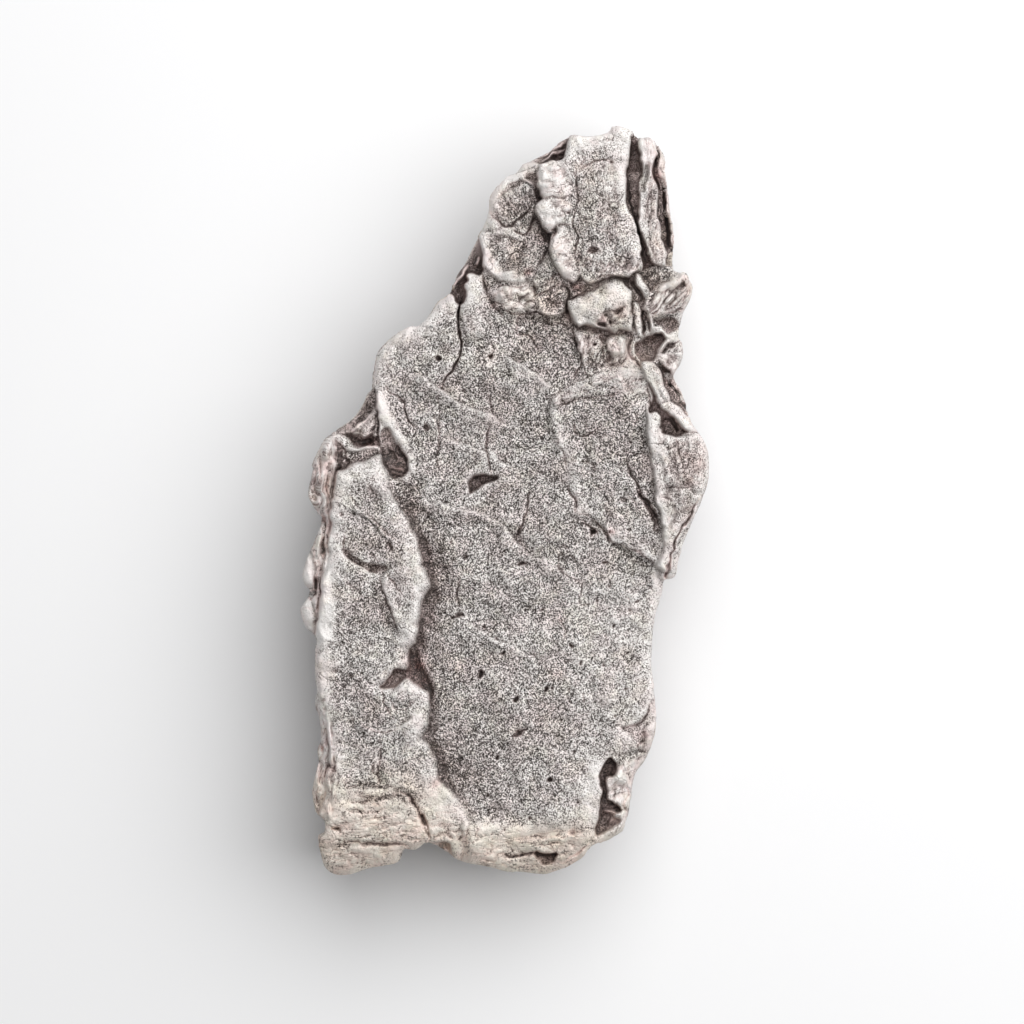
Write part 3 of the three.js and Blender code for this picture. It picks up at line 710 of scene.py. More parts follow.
plate([104.5, 181, 109, 180, 111.5, 174, 113.5, 168, 113, 162.5, 110, 163.5, 107.5, 170,
    105.5, 175], 12.5, shoulder=0.3, drop=0.35)
facet([104.5, 181, 109, 180, 113, 170, 113, 162, 109, 166, 106, 175], 0.12, soft=0.2)
plate([102.5, 159, 106, 158, 108, 150, 109, 139, 111, 132, 106, 133, 104, 142, 102.5, 150], 12.3,
    shoulder=0.3, drop=0.3)
ridge([109, 156, 114, 152, 117, 145, 119.5, 134], 0.4, 0.8, rub=0.7)
split([108.5, 155, 110, 146, 111.5, 138, 113, 133], 0.4, 1)
split([111.5, 149, 114, 143, 116.5, 136], 0.4, 0.6, 0.6)
hollow([120, 147, 126, 146, 131, 146.5, 138, 144.5, 139, 140, 134, 135, 128, 136, 125, 141], 9.9,
    brown=0.75, lip=0.2)
hollow([105, 124, 109, 128, 116, 132, 121.5, 134, 127, 133, 128.5, 128.5, 123.5, 123, 121, 116,
    116, 112, 111, 111.5, 107, 115, 105, 120], 9, brown=0.85, lip=0.25)
ridge([122.5, 118, 127.5, 125, 132, 128.5, 138, 130], 0.45, 0.6, rub=0.8)
ridge([126, 133, 131, 132, 137, 131], 0.4, 0.3, rub=0.6)
split([124, 116, 130, 123, 139, 127.5], 0.6, 0.8, 0.7)
ridge([122, 115, 128, 111, 132, 105, 135, 99], 0.6, 0.5, rub=0.6)
plate([82, 123, 83, 129, 88, 131, 94, 130, 97.5, 124, 95, 119, 86, 118], 12, shoulder=0.6,
    drop=0.4, cliff=0.3)
facet([80, 122, 85, 132, 96, 130, 99, 122, 93, 112, 85, 114], 0.1)
each(split,
    ([81.5, 128, 81, 123, 84, 118], 0.24, 0.4, 0.7),
    ([78, 133, 82, 132, 84, 134], 0.3, 0.4, 0.8),
    ([99, 131, 99.5, 125, 100, 119, 103, 114, 107, 109, 113, 106], 0.24, 0.7),
)

# the column of lumps between the nugget and the upper plate
plate([56, 135, 66, 135, 75, 132, 78, 123, 80, 112, 78, 104, 65, 103, 61, 114, 59, 124], 11.8,
    shoulder=0.6, drop=0.2, cliff=0.3)
ridge([58, 135, 62, 126, 63.5, 116, 63, 108], 0.6, 0.12, rub=0.2)
shade([58, 135, 62, 126, 63.5, 116], 0.7, 0.14)
ridge([88, 124, 92, 114, 99, 106, 105, 98], 1.5, 0.3, rub=0.5)
fibres([57, 134, 78, 132, 100, 128, 102, 112, 94, 104, 74, 102, 60, 108], 70, 0.8, 0.5, 0.26,
    dark=0.6)
shade([70, 132, 70, 122, 72, 112, 76, 106], 1.1, 0.13)
shade([86, 114, 92, 109, 98, 104], 1.6, 0.06)
each(split,
    ([53.5, 138, 55, 132, 57.5, 125, 61, 118, 59.5, 109, 57.5, 105, 57, 100, 56.5, 95], 0.26, 0.5,
     0.75),
    ([61, 109, 64, 104, 69, 101, 76, 101.5, 82, 104], 0.26, 0.5),
    ([66, 135, 66, 128, 67, 120, 68, 112], 0.14, 0.2, 0.5),
    ([75, 134, 77, 126, 79, 119, 80, 112], 0.2, 0.3, 0.6),
)
pit(72, 126, 0.3, 0.2)
pit(85, 113, 0.3, 0.2, brown=0.6)

# ---------------------------------------------------------
# The upper right plate, raised over the middle, and the laths that split off above it.
# ---------------------------------------------------------
plate([37.5, 65, 36, 75, 37.5, 82, 46, 87.5, 56, 93.5, 69, 100, 80, 103.5, 94, 106, 106, 105,
    115, 96, 126, 76, 136, 64, 152, 62, 169, 50, 172, 15, 156, -25, 143, -65, 128, -63, 124, -53,
    117, -47, 109, -40.5, 100, -35, 90.5, -33, 83, -26, 74, -17, 69, -12, 58, -8, 55.5, 3, 51, 12,
    50.5, 24, 48.5, 36, 43, 42, 43, 49, 38, 55], 12, shoulder=1.1, drop=0.2, tilt=(0.05, 0),
    cliff=0.4)
step_down([96, 99, 79, 95, 66, 88, 54, 79, 44, 73], 0.15, 0.9)
shade([39, 79, 52, 86, 66, 94, 80, 100, 96, 102], 1.2, 0.11)
fibres([38, 82, 56, 92, 82, 103, 106, 104, 116, 92, 110, 84, 88, 88, 64, 83, 44, 72], 27, 0.9, 0.5,
    0.18, dark=0.45)
each(shade,
    ([88, 96, 104, 96, 114, 86, 119, 76], 1.9, 0.11),
    ([42, 70, 41, 58, 47, 45, 53, 32, 56, 12, 61, -3], 1.8, 0.1),
    ([64, -7, 76, -16, 90, -28, 104, -31, 116, -42, 124, -49], 1.4, 0.14),
)
facet([56, 80, 80, 86, 98, 84, 112, 70, 113, 42, 115, 24, 106, 14, 96, 28, 82, 40, 64, 50, 55, 64],
    -0.07)
facet([100, 34, 116, 36, 119, 8, 121, -6, 109, 10], -0.08)
split([35, 82, 42, 87, 54, 94, 68, 101, 79, 103], 0.14, 0.25, 0.55)
each(split,
    ([43, 72, 48, 75, 53, 79, 60, 82], 0.24, 0.25, 0.7),
    ([62, 84, 72, 83, 83, 85, 95, 89], 0.2, 0.15, 0.55),
    ([39, 59, 38, 54, 42.5, 50, 41.5, 44, 47.5, 38, 49.5, 30, 51, 22], 0.14, 0.2, 0.5),
    ([50.5, 13, 53, 6, 55.5, 0, 56.5, -8], 0.4, 0.5, 0.85),
    ([57, -8, 64, -10.5, 69, -13, 74, -17], 0.14, 0.2, 0.5),
    ([71, -15, 76, -20, 81, -25, 85, -31, 91, -34.5], 0.4, 0.5, 0.8),
    ([89, -34, 98, -35, 106, -39, 113, -45, 122, -52], 0.2, 0.3, 0.6),
    ([61, -16, 68, -21, 74, -25], 0.16, 0.2, 0.6),
    ([57.5, 62, 58, 57, 62, 53.5, 69, 55, 74, 58, 78, 62], 0.2, 0.25, 0.8),
    ([62, 64, 67, 60, 74, 66], 0.13, 0.15, 0.5),
    ([93, 42, 101, 39, 108, 37, 115, 36], 0.16, 0.2, 0.6),
    ([66, 34, 69, 29, 74, 25], 0.14, 0.15, 0.5),
    ([62, 31, 69, 30.5], 0.14, 0.15, 0.5),
    ([102, 73, 105, 67, 103, 62], 0.16, 0.2, 0.6),
    ([68, 14, 76, 10, 82, 13], 0.14, 0.15, 0.5),
    ([80, -4, 85, -12, 92, -13], 0.16, 0.15, 0.55),
    ([94, 6, 102, 2, 107, -6], 0.14, 0.15, 0.5),
)
pit(69, -25, 0.5, 0.35, turn=30, depth=0.3, brown=0.7)
facet([88, -39, 104, -41, 120, -52, 112, -56, 92, -48], -0.1)
split([97.5, 35, 99, 29, 100.5, 22, 107, 14, 111, 5, 116, -1, 119.5, -9, 121.5, -16, 123, -25],
    0.3, 0.6)
split([106, 12, 108, 7, 114, 0, 118.5, -10, 120, -22], 0.65, 0.9, 0.85)
each(pit,
    (76, 11, 0.3, 0.2, 0, 0.25, 0.6), (93, 2, 0.6, 0.35, 30, 0.2, 0.4),
    (83, -11.5, 0.7, 0.2, 10, 0.2, 0.5), (98, -21.5, 0.4, 0.22, 0, 0.2, 0.55),
    (84, -24, 0.4, 0.3, 0, 0.2, 0.6),
)
tint(front.rust, (85, -23.5, 0.3, 0.7))

# the bright ridge of that plate along the flank, and the thin sliver outside it
plate([115, 72, 122, 74, 128, 68, 135, 59, 141, 52, 170, 52, 174, 10, 152, -12, 139, -32, 132, -53,
    126, -54, 122, -49, 126, -36, 126, -22, 124, -10, 121, 4, 119.5, 16, 117.5, 30, 116, 46,
    113, 60], 13, shoulder=0.8, drop=0.35)
ridge([119, 66, 121, 46, 123, 26, 126, 8, 131, -14, 132, -36], 1.4, 0.15, rub=0.6)
ridge([134, 52, 133, 32, 139, 6, 143, -9], 1.3, 0.12, rub=0.4)
fibres([122, 66, 136, 52, 160, 46, 160, 6, 146, -12, 132, -46, 128, -20, 126, 10], 70, 0.9, 0.5,
    0.16, dark=0.35)
each(split,
    ([155, 2, 152, -2, 149, -7, 146, -14, 142, -20, 139, -26, 136, -31, 134, -38, 133, -44,
     131, -52, 128.5, -61], 0.34, 1),
    ([145.5, -9, 146, -16, 143.5, -21], 0.26, 0.8),
    ([131, -49, 129, -55, 128, -61], 0.5, 1.2),
)
for path in (
    [128, 10.5, 134, 12.5, 140, 11.5, 146, 12, 151, 15],
    [137, 20, 139.5, 15, 141, 11],
    [126, 4, 129, 2, 133, -1],
    [143, 28, 141.5, 34, 142, 39],
    [152, 26, 155, 32, 157, 38],
):
    split(path, 0.16, 0.25, 0.65)
tint(front.rust, (149, 33, 0.9, 0.3), (144, 16, 0.7, 0.25), (130, 3, 0.5, 0.2))

# the laths above it: each lies beside the next with a slot between
hollow([110, 112, 116, 109, 126, 108, 136, 102, 146, 82, 152, 66, 146, 57, 136, 53, 126, 60,
    124, 72, 116, 71, 120, 82, 114, 95], 10.2, brown=0.9, lip=0.15)
plate([110, 111, 117, 110, 123, 104, 127, 95, 130.5, 86, 132, 80, 128, 77, 123, 81, 118, 90,
    113, 98, 110, 105], 12.9, shoulder=0.5, drop=0.45)
plate([121, 116, 129, 113, 134, 104, 139, 94, 146, 82, 154, 82, 148, 114, 136, 120], 11.8,
    shoulder=0.35, drop=0.35)
plate([125.5, 78, 132, 79.5, 139, 75, 144, 69.5, 150, 63, 154, 56, 144, 57, 140, 62, 136, 65,
    131, 70, 127, 74], 12.7, shoulder=0.4, drop=0.4)
ridge([138, 62, 138, 58, 139, 54], 0.5, 0.3, rub=0.4)
fibres([113, 110, 125, 104, 133, 82, 127, 79, 119, 90], -55, 1.4, 0.45, 0.16, dark=0.4)
fibres([122, 116, 134, 104, 145, 83, 153, 83, 146, 113, 134, 120], -58, 1.6, 0.4, 0.3)
each(split,
    ([129, 102, 133.5, 93, 139, 85, 143, 78, 147.5, 70], 0.34, 1.4),
    ([126.5, 63, 130, 66, 135, 63, 138, 58, 137.5, 54], 0.5, 1.2),
    ([137, 53, 137, 48, 138.5, 43, 140, 37, 143, 30], 0.2, 0.6),
    ([113, 93, 115, 87, 117, 81, 119, 74], 0.2, 0.7),
)
ridge([142, 89, 147, 76, 151, 66], 0.3, 0.8, rub=0.9)

# ---------------------------------------------------------
# The left flank: hollows where pieces have fallen out, and thin layers that stand on edge
# below the left plate, with dark gaps between them.
# ---------------------------------------------------------
hollow([-107, 90, -103.5, 87, -102, 70, -102, 52, -101.5, 44, -110, 44, -118, 45, -127, 50,
    -136, 56, -132, 66, -120, 76, -112, 90], 9.8, brown=0.5, lip=0.1, fillet=0)
facet([-109, 92, -102, 89, -103, 76, -114, 64, -128, 56, -134, 62, -120, 76], -0.24, soft=0.2)
plate([-123, 53.5, -119, 57.5, -111, 64, -103, 72, -102, 53, -107, 54, -111, 51.5, -117, 53.5],
    11.3, shoulder=0.3, drop=0.2)
fibres([-123, 53, -111, 65, -102, 73, -102, 52, -111, 51], 60, 0.7, 0.35, 0.16, dark=0.8)
facet([-123, 53, -111, 65, -102, 73, -102, 52, -111, 51], -0.1, soft=0.1)
ridge([-102.5, 75, -114, 63.5, -126, 54], 0.22, 0.5, rub=0.9)
shade([-102.5, 75, -114, 63.5, -126, 54], 0.3, 0.25)
ridge([-125, 54, -117, 53.5, -111, 51.5, -106, 54, -102, 53.5], 0.2, 0.35, rub=0.9)
shade([-125, 54, -117, 53.5, -111, 51.5, -106, 54, -102, 53.5], 0.25, 0.3)
split([-102.5, 50, -112, 47.5, -122, 50, -130, 55], 0.8, 0.7, 0.8)
split([-102, 85, -101.5, 65, -101, 46], 0.18, 0.6)
plate([-158, 46, -136, 55, -124, 47.5, -112, 43, -100, 44, -99, 39, -108, 36, -122, 28, -133, 24,
    -137, 10, -142, -2, -148, -14, -165, -16, -172, 20], 11, shoulder=0.4, drop=0.4)
facet([-154, 40, -140, 55, -128, 53, -124, 47, -130, 40, -134, 30, -142, 16, -156, 16], 0.12,
    soft=0.3)
hollow([-123, 39, -116, 41, -108, 39.5, -105, 36, -112, 31.5, -121, 29, -125, 33], 10.4, brown=0.1,
    lip=0.2)
shade([-127, 43, -116, 42.5, -103, 43.5], 0.5, 0.2)
split([-133, 35, -129, 34, -125, 30, -131, 26], 0.6, 0.5, 0.6)
ridge([-129, 44, -120, 42.5, -110, 43, -101, 43], 0.35, 0.45, rub=0.7)
split([-136, 49, -129, 41, -128, 32, -132, 26], 0.2, 0.6)
split([-146, 43, -139, 37, -134, 30], 0.2, 0.5)
hollow([-98.5, 56, -95, 59, -92, 53, -89, 48, -84, 44, -80, 36, -79, 30, -80, 25, -83, 21, -89, 19,
    -92.5, 22, -95, 28, -99, 37, -100, 44], 10.5, brown=0.8, lip=0.3, fillet=0)
facet([-99, 56, -92, 53, -84, 43, -79, 30, -82, 22, -90, 20, -95, 29, -100, 44], -0.12, soft=0.15)
each(ridge,
    ([-96, 50, -90, 40, -84, 33], 0.2, 0.2, 0.4),
    ([-93, 29, -87, 26, -80, 27], 0.25, 0.25, 0.7),
    ([-92, 24, -86, 22, -80, 23], 0.2, 0.2, 0.7),
)
split([-85, 43, -80.5, 34, -80, 27, -82, 22], 0.26, 0.6)
split([-99, 39, -95, 29, -92, 22, -88, 18], 0.2, 0.4, 0.7)
ridge([-99, 86, -98, 74, -93, 64, -86, 54, -79, 44, -75, 32, -75, 20], 1, 0.3, rub=0.75)
split([-96, 92, -90, 86, -85, 83, -80, 79, -79.5, 73, -77, 65, -72, 60], 0.22, 0.6)
tint(front.rust, (-109, 48, 0.6, 0.5), (-86, 26, 0.5, 0.4))

# the ledge of layers
hollow([-172, 64, -152, 49, -136, 30, -135, 15, -138.5, -10, -140, -35, -145, -60, -149.5, -85,
    -152, -114, -170, -114], 10.8, brown=0.2, lip=0.15)
chips = np.abs(swell(ground_x / 0.5 + 0.2 * ground_y, ground_y / 1.3, 31.5))
on_ledge = smooth(-13.5, -13.9, bent_x) * smooth(-11.4, -10.6, ground_y)
on_ledge = on_ledge * smooth(5.4, 4.6, ground_y)
front.height += on_ledge * (0.5 * chips + 0.5 * smooth(-15.6, -14.2, ground_x)
                            * smooth(-2.2, -0.2, ground_y))
front.stain = np.maximum(front.stain * (1 - on_ledge), 0.75 * on_ledge * smooth(0.12, 0.02, chips))
front.dark = np.maximum(front.dark, 0.6 * on_ledge * smooth(0.12, 0.02, chips))
# painted light: the ledge's layers slope away from the lamp, so their tone is raised
front.shade += 0.24 * on_ledge
for path, width, height in (
    ([-139.5, -8, -141, -24, -142.5, -44, -145, -64, -147.5, -86], 0.4, 0.7),
    ([-147, -10, -148.5, -30, -151, -46, -152, -60], 0.8, 0.5),
    ([-153, -32, -156, -44, -157.5, -56], 0.6, 0.4),
    ([-150, -74, -150.5, -88, -150, -104], 0.4, 0.4),
):
    ridge(path, width, height, rub=0.6)
fibres([-170, 56, -148, 58, -130, 46, -132, 24, -136, 0, -141, -40, -150, -100, -170, -100], 84,
    1.5, 0.45, 0.4, dark=0.95)
for path, width in (
    ([-144.5, -8, -145, -20, -145.5, -34, -146, -43], 0.5),
    ([-138.5, -10, -139.5, -24, -141, -38, -143, -48], 0.3),
    ([-142, 24, -142.5, 14, -142, 4, -143.5, -8], 0.22),
    ([-147, 34, -147.5, 24, -148.5, 16], 0.22),
    ([-151, 26, -152, 16, -151, 6], 0.22),
    ([-146, -59, -147, -69, -147.5, -78], 0.36),
    ([-152, -86, -152.5, -96, -151.5, -108], 0.42),
    ([-149.5, -74, -151, -86], 0.2),
):
    split(path, width, 1.2)
plate([-153, -67, -152, -56, -154, -44, -158, -32, -170, -30, -170, -69], 11.6, shoulder=1.4,
    drop=0.7)
plate([-154, -105, -153, -92, -155, -79, -170, -73, -170, -106], 11.5, shoulder=1.4, drop=0.7)
# painted light on the knobs below the ledge, which slope away from the lamp
facet([-152, -68, -151, -55, -154, -37, -170, -30, -170, -69], 0.3, soft=0.3)
facet([-153, -106, -152, -90, -155, -76, -170, -73, -170, -106], 0.3, soft=0.3)
split([-157.5, -75, -163, -77], 0.2, 0.4, 0.7)
split([-154, -85, -159, -85, -163, -86], 0.16, 0.2, 0.6)
each(pit,
    (-153.5, 15, 0.8, 0.45, 60, 0.6, 0.7), (-153, 3, 0.6, 0.3, -40, 0.5, 0.5),
    (-152, -63.5, 0.8, 0.4, 80, 1), (-154, -72.5, 0.7, 0.4, 10, 1),
)

# ---------------------------------------------------------
# The left plate: it lies over the middle, with a dark trough along its right edge, a
# blade-like rib on top and an oblique trench beside the blade.
# ---------------------------------------------------------
TROUGH = [
    -93, 12, -88, 5, -80, -6, -73, -19, -67, -34, -65, -48, -61, -61, -57.5, -72, -62, -86,
    -66, -100, -69, -113, -71, -124, -68, -136, -62, -148, -59, -162, -59, -180, -60, -192,
    -54, -204, -51, -216, -45, -227, -36, -236, -28, -246,
]
split(TROUGH, 2.2, 0.35, 0.18)
split(TROUGH[20:30], 1.6, 0.7, 0.5)
plate([-135, 22, -129, 24.5, -120, 28.5, -113, 31, -104, 36, -99.5, 35, -97.5, 29, -95, 22, -91, 8,
    -87, 0, -79, -12, -72, -26, -69, -40, -67.5, -48, -63.5, -58, -61, -66, -65, -76, -68.5, -90,
    -71, -104, -72, -111, -76, -115, -77.5, -128, -79, -134, -74, -143, -67, -149, -61.5, -153,
    -62, -170, -63, -180, -65, -188, -62, -195, -58, -204, -55, -214, -51, -224, -43, -232,
    -36, -242, -29, -254, -32, -270, -40, -290, -60, -310, -159, -310, -158, -264, -149, -254,
    -144, -240, -139, -210, -143, -180, -149, -150, -151, -120, -148, -85, -144, -60, -141, -40,
    -139, -15, -137, 5], 12.5, shoulder=1.6, drop=0.6, tilt=(-0.02, 0.01), cliff=0.2)
each(shade,
    ([-130, 19, -120, 23, -110, 26, -102, 28], 1.9, 0.13),
    ([-132, -41, -123, -48, -114, -54.5, -105, -61, -99, -65], 0.5, 0.2),
    ([-129, 15, -133, -15, -137, -50, -142, -90, -144, -130, -144, -165, -136, -200, -132, -230],
     1.9, 0.13),
    ([-98, 24, -93, 4, -84, -14, -78, -32, -75, -50, -70, -67], 1.7, 0.14),
)
plate([-99, -57.5, -93, -53, -85, -46, -78, -39, -70, -42, -68, -50, -63, -60, -61.5, -66,
    -66, -77, -69.5, -90, -72, -104, -74, -111, -80, -114, -89, -112, -90.5, -106, -86.5, -103,
    -87, -98, -91, -88, -94, -80, -97, -70], 12.75, shoulder=0.9, drop=0.3, cliff=0.25)
each(shade,
    ([-93, -62, -89, -80, -83, -98, -80, -110], 1.1, 0.1),
    ([-70, -66, -72, -82, -75, -100, -81, -111], 1, 0.12),
    ([-102, -66, -99, -78, -94, -92, -90, -100], 0.9, -0.16),
)
ridge([-96, -60, -93, -74, -88, -90, -84, -104], 0.8, 0.08, rub=0.9)
ridge([-67, -64, -71, -78, -74, -94, -76, -106], 0.8, 0.08, rub=0.9)
tint(front.polish, (-83, -50, 1.4, 0.7), (-82, -102, 1, 0.8))

hollow([-129, -38, -125, -44, -116, -50, -109, -55, -102, -59, -98, -58.5, -93.5, -55, -94, -51.5,
    -103, -50, -112, -47.5, -120, -43, -125, -39], 12, brown=0.4, lip=0.15)
each(split,
    ([-129, -26, -128.5, -34, -128, -39], 0.14, 0.3, 0.7),
    ([-128, -40.5, -120, -47.5, -112, -53, -103, -58.5], 0.22, 0.4),
    ([-109, -40, -104, -43, -99, -49], 0.14, 0.3, 0.7),
    ([-95, -56, -89.5, -63, -83, -73], 0.2, 0.4, 0.8),
    ([-99.5, -61, -97.5, -70, -94.5, -80, -91, -89, -87, -99], 0.32, 0.3, 0.7),
    ([-123, 5, -119, 0, -116, -7], 0.16, 0.2, 0.6),
    ([-111, -9, -103, -16, -95, -23, -89, -29], 0.3, 0.25, 0.45),
    ([-128, -63, -120, -70, -113, -77], 0.14, 0.15, 0.5),
    ([-109, 15, -103, 6, -99, -2], 0.25, 0.15, 0.3),
)
step_down([-89, -35, -99, -23, -112, -12, -128, -6], 0.25, 1)
step_down([-136, -126, -122, -132, -112, -144, -102, -149], 0.15, 1)
each(pit,
    (-93, -35, 0.8, 0.45, -60, 0.25, 0.5), (-129, -10, 0.5, 0.25, 80, 0.2, 0.45),
    (-134, -133, 0.4, 0.3, 0, 0.2, 0.5), (-124, -139, 0.5, 0.25, -30, 0.2, 0.45),
)

# the notch under the blade, with the lobe below it
hollow([-75.5, -117, -76.5, -126, -77.5, -133, -85, -134.5, -91, -138.5, -95, -144, -99, -147.5,
    -91, -147.5, -85, -145.5, -81, -141, -76, -139.5, -70, -145, -65, -148.5, -62.5, -149,
    -65, -135, -69, -122], 10.2, brown=1, lip=0.3)
tint(front.rust, (-70, -132, 0.9, 0.9), (-66, -144, 0.5, 0.8), (-55, -224, 0.4, 0.7))
plate([-91, -151, -85, -148, -79, -145, -73, -149, -73, -157, -79, -162, -87, -160], 12.6,
    shoulder=0.5, drop=0.3, cliff=0.3)
each(shade,
    ([-89, -149, -76, -146, -69, -154, -68, -172, -70, -190, -66, -204, -60, -220, -50, -236,
     -44, -250], 1.9, 0.12),
    ([-114, -181, -96, -182, -82, -179], 0.8, 0.1),
    ([-96, -136, -90, -131, -82, -126, -80, -119], 1, 0.1),
    ([-110, 9, -106, 0, -102, -12], 1.7, -0.1),
    ([-120, -30, -106, -34, -98, -34], 2, -0.1),
    ([-128, -90, -116, -86, -106, -86], 2.4, -0.07),
    ([-125, -145, -112, -158, -102, -166], 2.4, -0.08),
)
facet([-134, -196, -110, -192, -80, -190, -66, -208, -54, -230, -46, -246, -60, -254, -72, -236,
    -90, -226, -134, -222], 0.08)
split([-98.5, -148, -97, -158, -93, -166, -90, -172], 0.18, 0.35, 0.75)
split([-91, -159, -85, -164, -77, -164, -72, -159], 0.14, 0.25, 0.6)
step_down([-70, -170, -82, -177, -96, -181, -107, -180, -117, -175], -0.3, 1)
split([-116, -177, -106, -181.5, -96, -182.5, -84, -179], 0.2, 0.25, 0.55)
split([-100, -184, -99, -200, -103, -214, -101, -224], 0.2, 0.3, 0.55)
ridge([-72, -166, -74, -182, -75, -198], 1.5, 0.15, rub=0.6)
split([-128, -164, -121, -176, -124, -189], 0.16, 0.2, 0.4)

# the slits between its edge and the ledge
for path, width in (
    ([-127, 31, -132, 28, -135, 24, -138, 12, -139.3, -1.4, -139, -14, -141, -28, -141.7, -41],
     0.55),
    ([-143, -7.5, -144.6, -20.6, -145.3, -35, -146, -46], 0.4),
    ([-142, 16, -143, 6, -143.5, -4], 0.2),
    ([-146, -56, -146.8, -67, -147.5, -76], 0.26),
    ([-152, -58, -152, -69, -156, -72], 0.5),
    ([-149.7, -79, -150, -86, -150.5, -93, -151.5, -100], 0.42),
):
    split(path, width, 1.3)

# the lower flank: streaks of the layers seen from above
for path, width, brown in (
    ([-149, -162, -147.5, -176, -145, -192], 0.16, 0.6),
    ([-143.5, -164, -143, -180, -141, -196], 0.14, 0.5),
    ([-143, -207, -142, -216, -142.5, -224], 0.26, 0.9),
    ([-138, -199, -136.5, -210, -137, -224], 0.26, 0.85),
    ([-147.5, -203, -147, -216, -148, -230], 0.18, 0.7),
    ([-151, -229, -151, -242], 0.18, 0.8),
    ([-144.5, -230, -143.5, -244], 0.18, 0.6),
    ([-139.5, -174, -137.5, -188], 0.14, 0.5),
):
    split(path, width, 0.6, brown)
fibres([-152, -158, -140, -160, -134, -200, -135, -244, -154, -256, -154, -200], 86, 1.6, 0.28,
    0.25, dark=0.7)
facet([-154, -158, -144, -160, -139, -200, -139, -244, -158, -256, -158, -200], 0.2, soft=0.3)
pit(-147, -197, 0.55, 0.24, turn=80, depth=0.7)
tint(front.rust, (-137, -212, 0.4, 0.4))
for path in (
    [-146, -170, -145, -190, -144.5, -210],
    [-140, -200, -139.5, -215, -140.5, -232],
    [-149.5, -206, -149.5, -222, -149, -240],
):
    ridge(path, 0.3, 0.35, rub=0.6)

# ---------------------------------------------------------
# The broad end: a warm, finely layered block on the left, a smooth lip in the middle, and
# on the right a slot with a lower block outside it.
# ---------------------------------------------------------
ROLL_START, ROLL_LENGTH, ROLL_DROP = -24.6, 5.4, 1.8
front.height -= ROLL_DROP * np.clip((ROLL_START - ground_y) / ROLL_LENGTH, 0, 1) ** 2
front.height += 0.95 * smooth(-24.8, -26.2, ground_y) * np.clip(
    smooth(-3.6, -2.6, bent_x) * smooth(2.0, -3.0, ground_x), 0, 1)
step_down([-64, -256, -72, -243, -77, -234, -95, -229.5, -114, -229, -130, -226], -0.3, 1)
split([-129, -228, -118, -226, -106, -226, -93, -231, -78, -233], 0.2, 0.2, 0.45)
split([-83, -232, -78, -233, -71.5, -240, -65, -251, -59, -265], 0.45, 0.5, 0.8)
facet([-132, -223, -120, -221, -106, -222, -92, -227, -77, -230, -70, -240, -73, -243, -84, -239,
    -94, -238, -102, -243, -112, -241, -122, -233, -130, -228], -0.14, soft=0.4)
layer_rise = ground_y + 0.3 * hills(2.5, 21.5)
in_block = smooth(-22.8, -23.6, ground_y) * smooth(-4.6, -6.6, ground_x)
front.height += 0.1 * in_block * swell(ground_x / 2.2, layer_rise / 0.4, 22.5)
front.height -= in_block * 0.3 * smooth(-27.1, -27.4, layer_rise)
fissures = np.zeros(ground_x.shape)
for long, thick, seed in ((1.6, 0.5, 24.5), (0.8, 0.26, 26.5), (0.45, 0.3, 28.5)):
    lines = np.abs(swell(bent_x / long, (layer_rise + bent_y - ground_y) / thick, seed))
    gaps = smooth(-0.15, 0.25, swell(ground_x / 1.1, ground_y / 0.7, seed + 1))
    fissures = np.maximum(fissures, smooth(0.13, 0.03, lines) * gaps)
near_end = smooth(-22.0, -25.0, ground_y + 0.6 * hills(1.5, 33.5))
near_end = near_end * smooth(-2.0, -6.0, ground_x)
near_end = np.maximum(near_end, smooth(-25.4, -26.4, ground_y) * smooth(6.5, 5.5, ground_x))
near_end *= smooth(-0.25, -0.08, front.shade)
front.height -= 0.1 * near_end * fissures
front.dark = np.maximum(front.dark, 0.7 * near_end * fissures)
front.stain = np.maximum(front.stain, 0.7 * near_end * fissures)
# the broad end is paler: partly its creamy weathering, partly painted light where it rolls away
# from the lamp
front.shade += 0.19 * near_end
split([-133, -271.5, -124, -270.5, -114, -272, -93, -273.5, -81, -272.5, -75, -276], 0.5, 0.45,
    0.85)
each(fibres,
    ([-130, -222, -92, -225, -70, -237, -86, -243, -110, -244], -8, 1, 0.5, 0.12, 0.45),
    ([-146, -256, -76, -252, -62, -266, -76, -276, -142, -296], 3, 1.3, 0.4, 0.06, 0.55),
    ([-24, -274, 8, -264, 58, -259, 66, -270, 30, -294, -24, -288], 8, 1, 0.4, 0.06, 0.5),
)
each(split,
    ([-126, -246, -110, -248, -96, -246], 0.16, 0.25, 0.6),
    ([-116, -258, -100, -260, -86, -256, -76, -255], 0.16, 0.25, 0.6),
    ([-124, -238, -112, -240, -106, -238], 0.24, 0.3, 0.7),
    ([-104, -209, -105.5, -216, -102, -220, -103, -226], 0.24, 0.3, 0.75),
    ([-132.5, -260, -131, -268], 0.16, 0.4),
    ([-74, -270, -68, -269, -62, -269], 0.16, 0.4),
    ([-64, -254, -61, -262, -58.5, -269], 0.2, 0.6),
)
pit(-66, -253, 1.1, 0.6, turn=-65, depth=0.8, brown=0.95)
split([-66, -257, -63, -263, -59, -268, -64, -271], 0.4, 0.5, 0.7)
pit(-136, -261, 0.75, 0.35, depth=0.7)
hollow([-60, -272, -50, -272, -46, -273.5, -42, -282, -48, -284, -59, -278], 8.2, brown=0.9,
    lip=0.2)
ridge([-57, -275, -50, -277.5, -46, -281], 0.25, 0.8, rub=0.6)

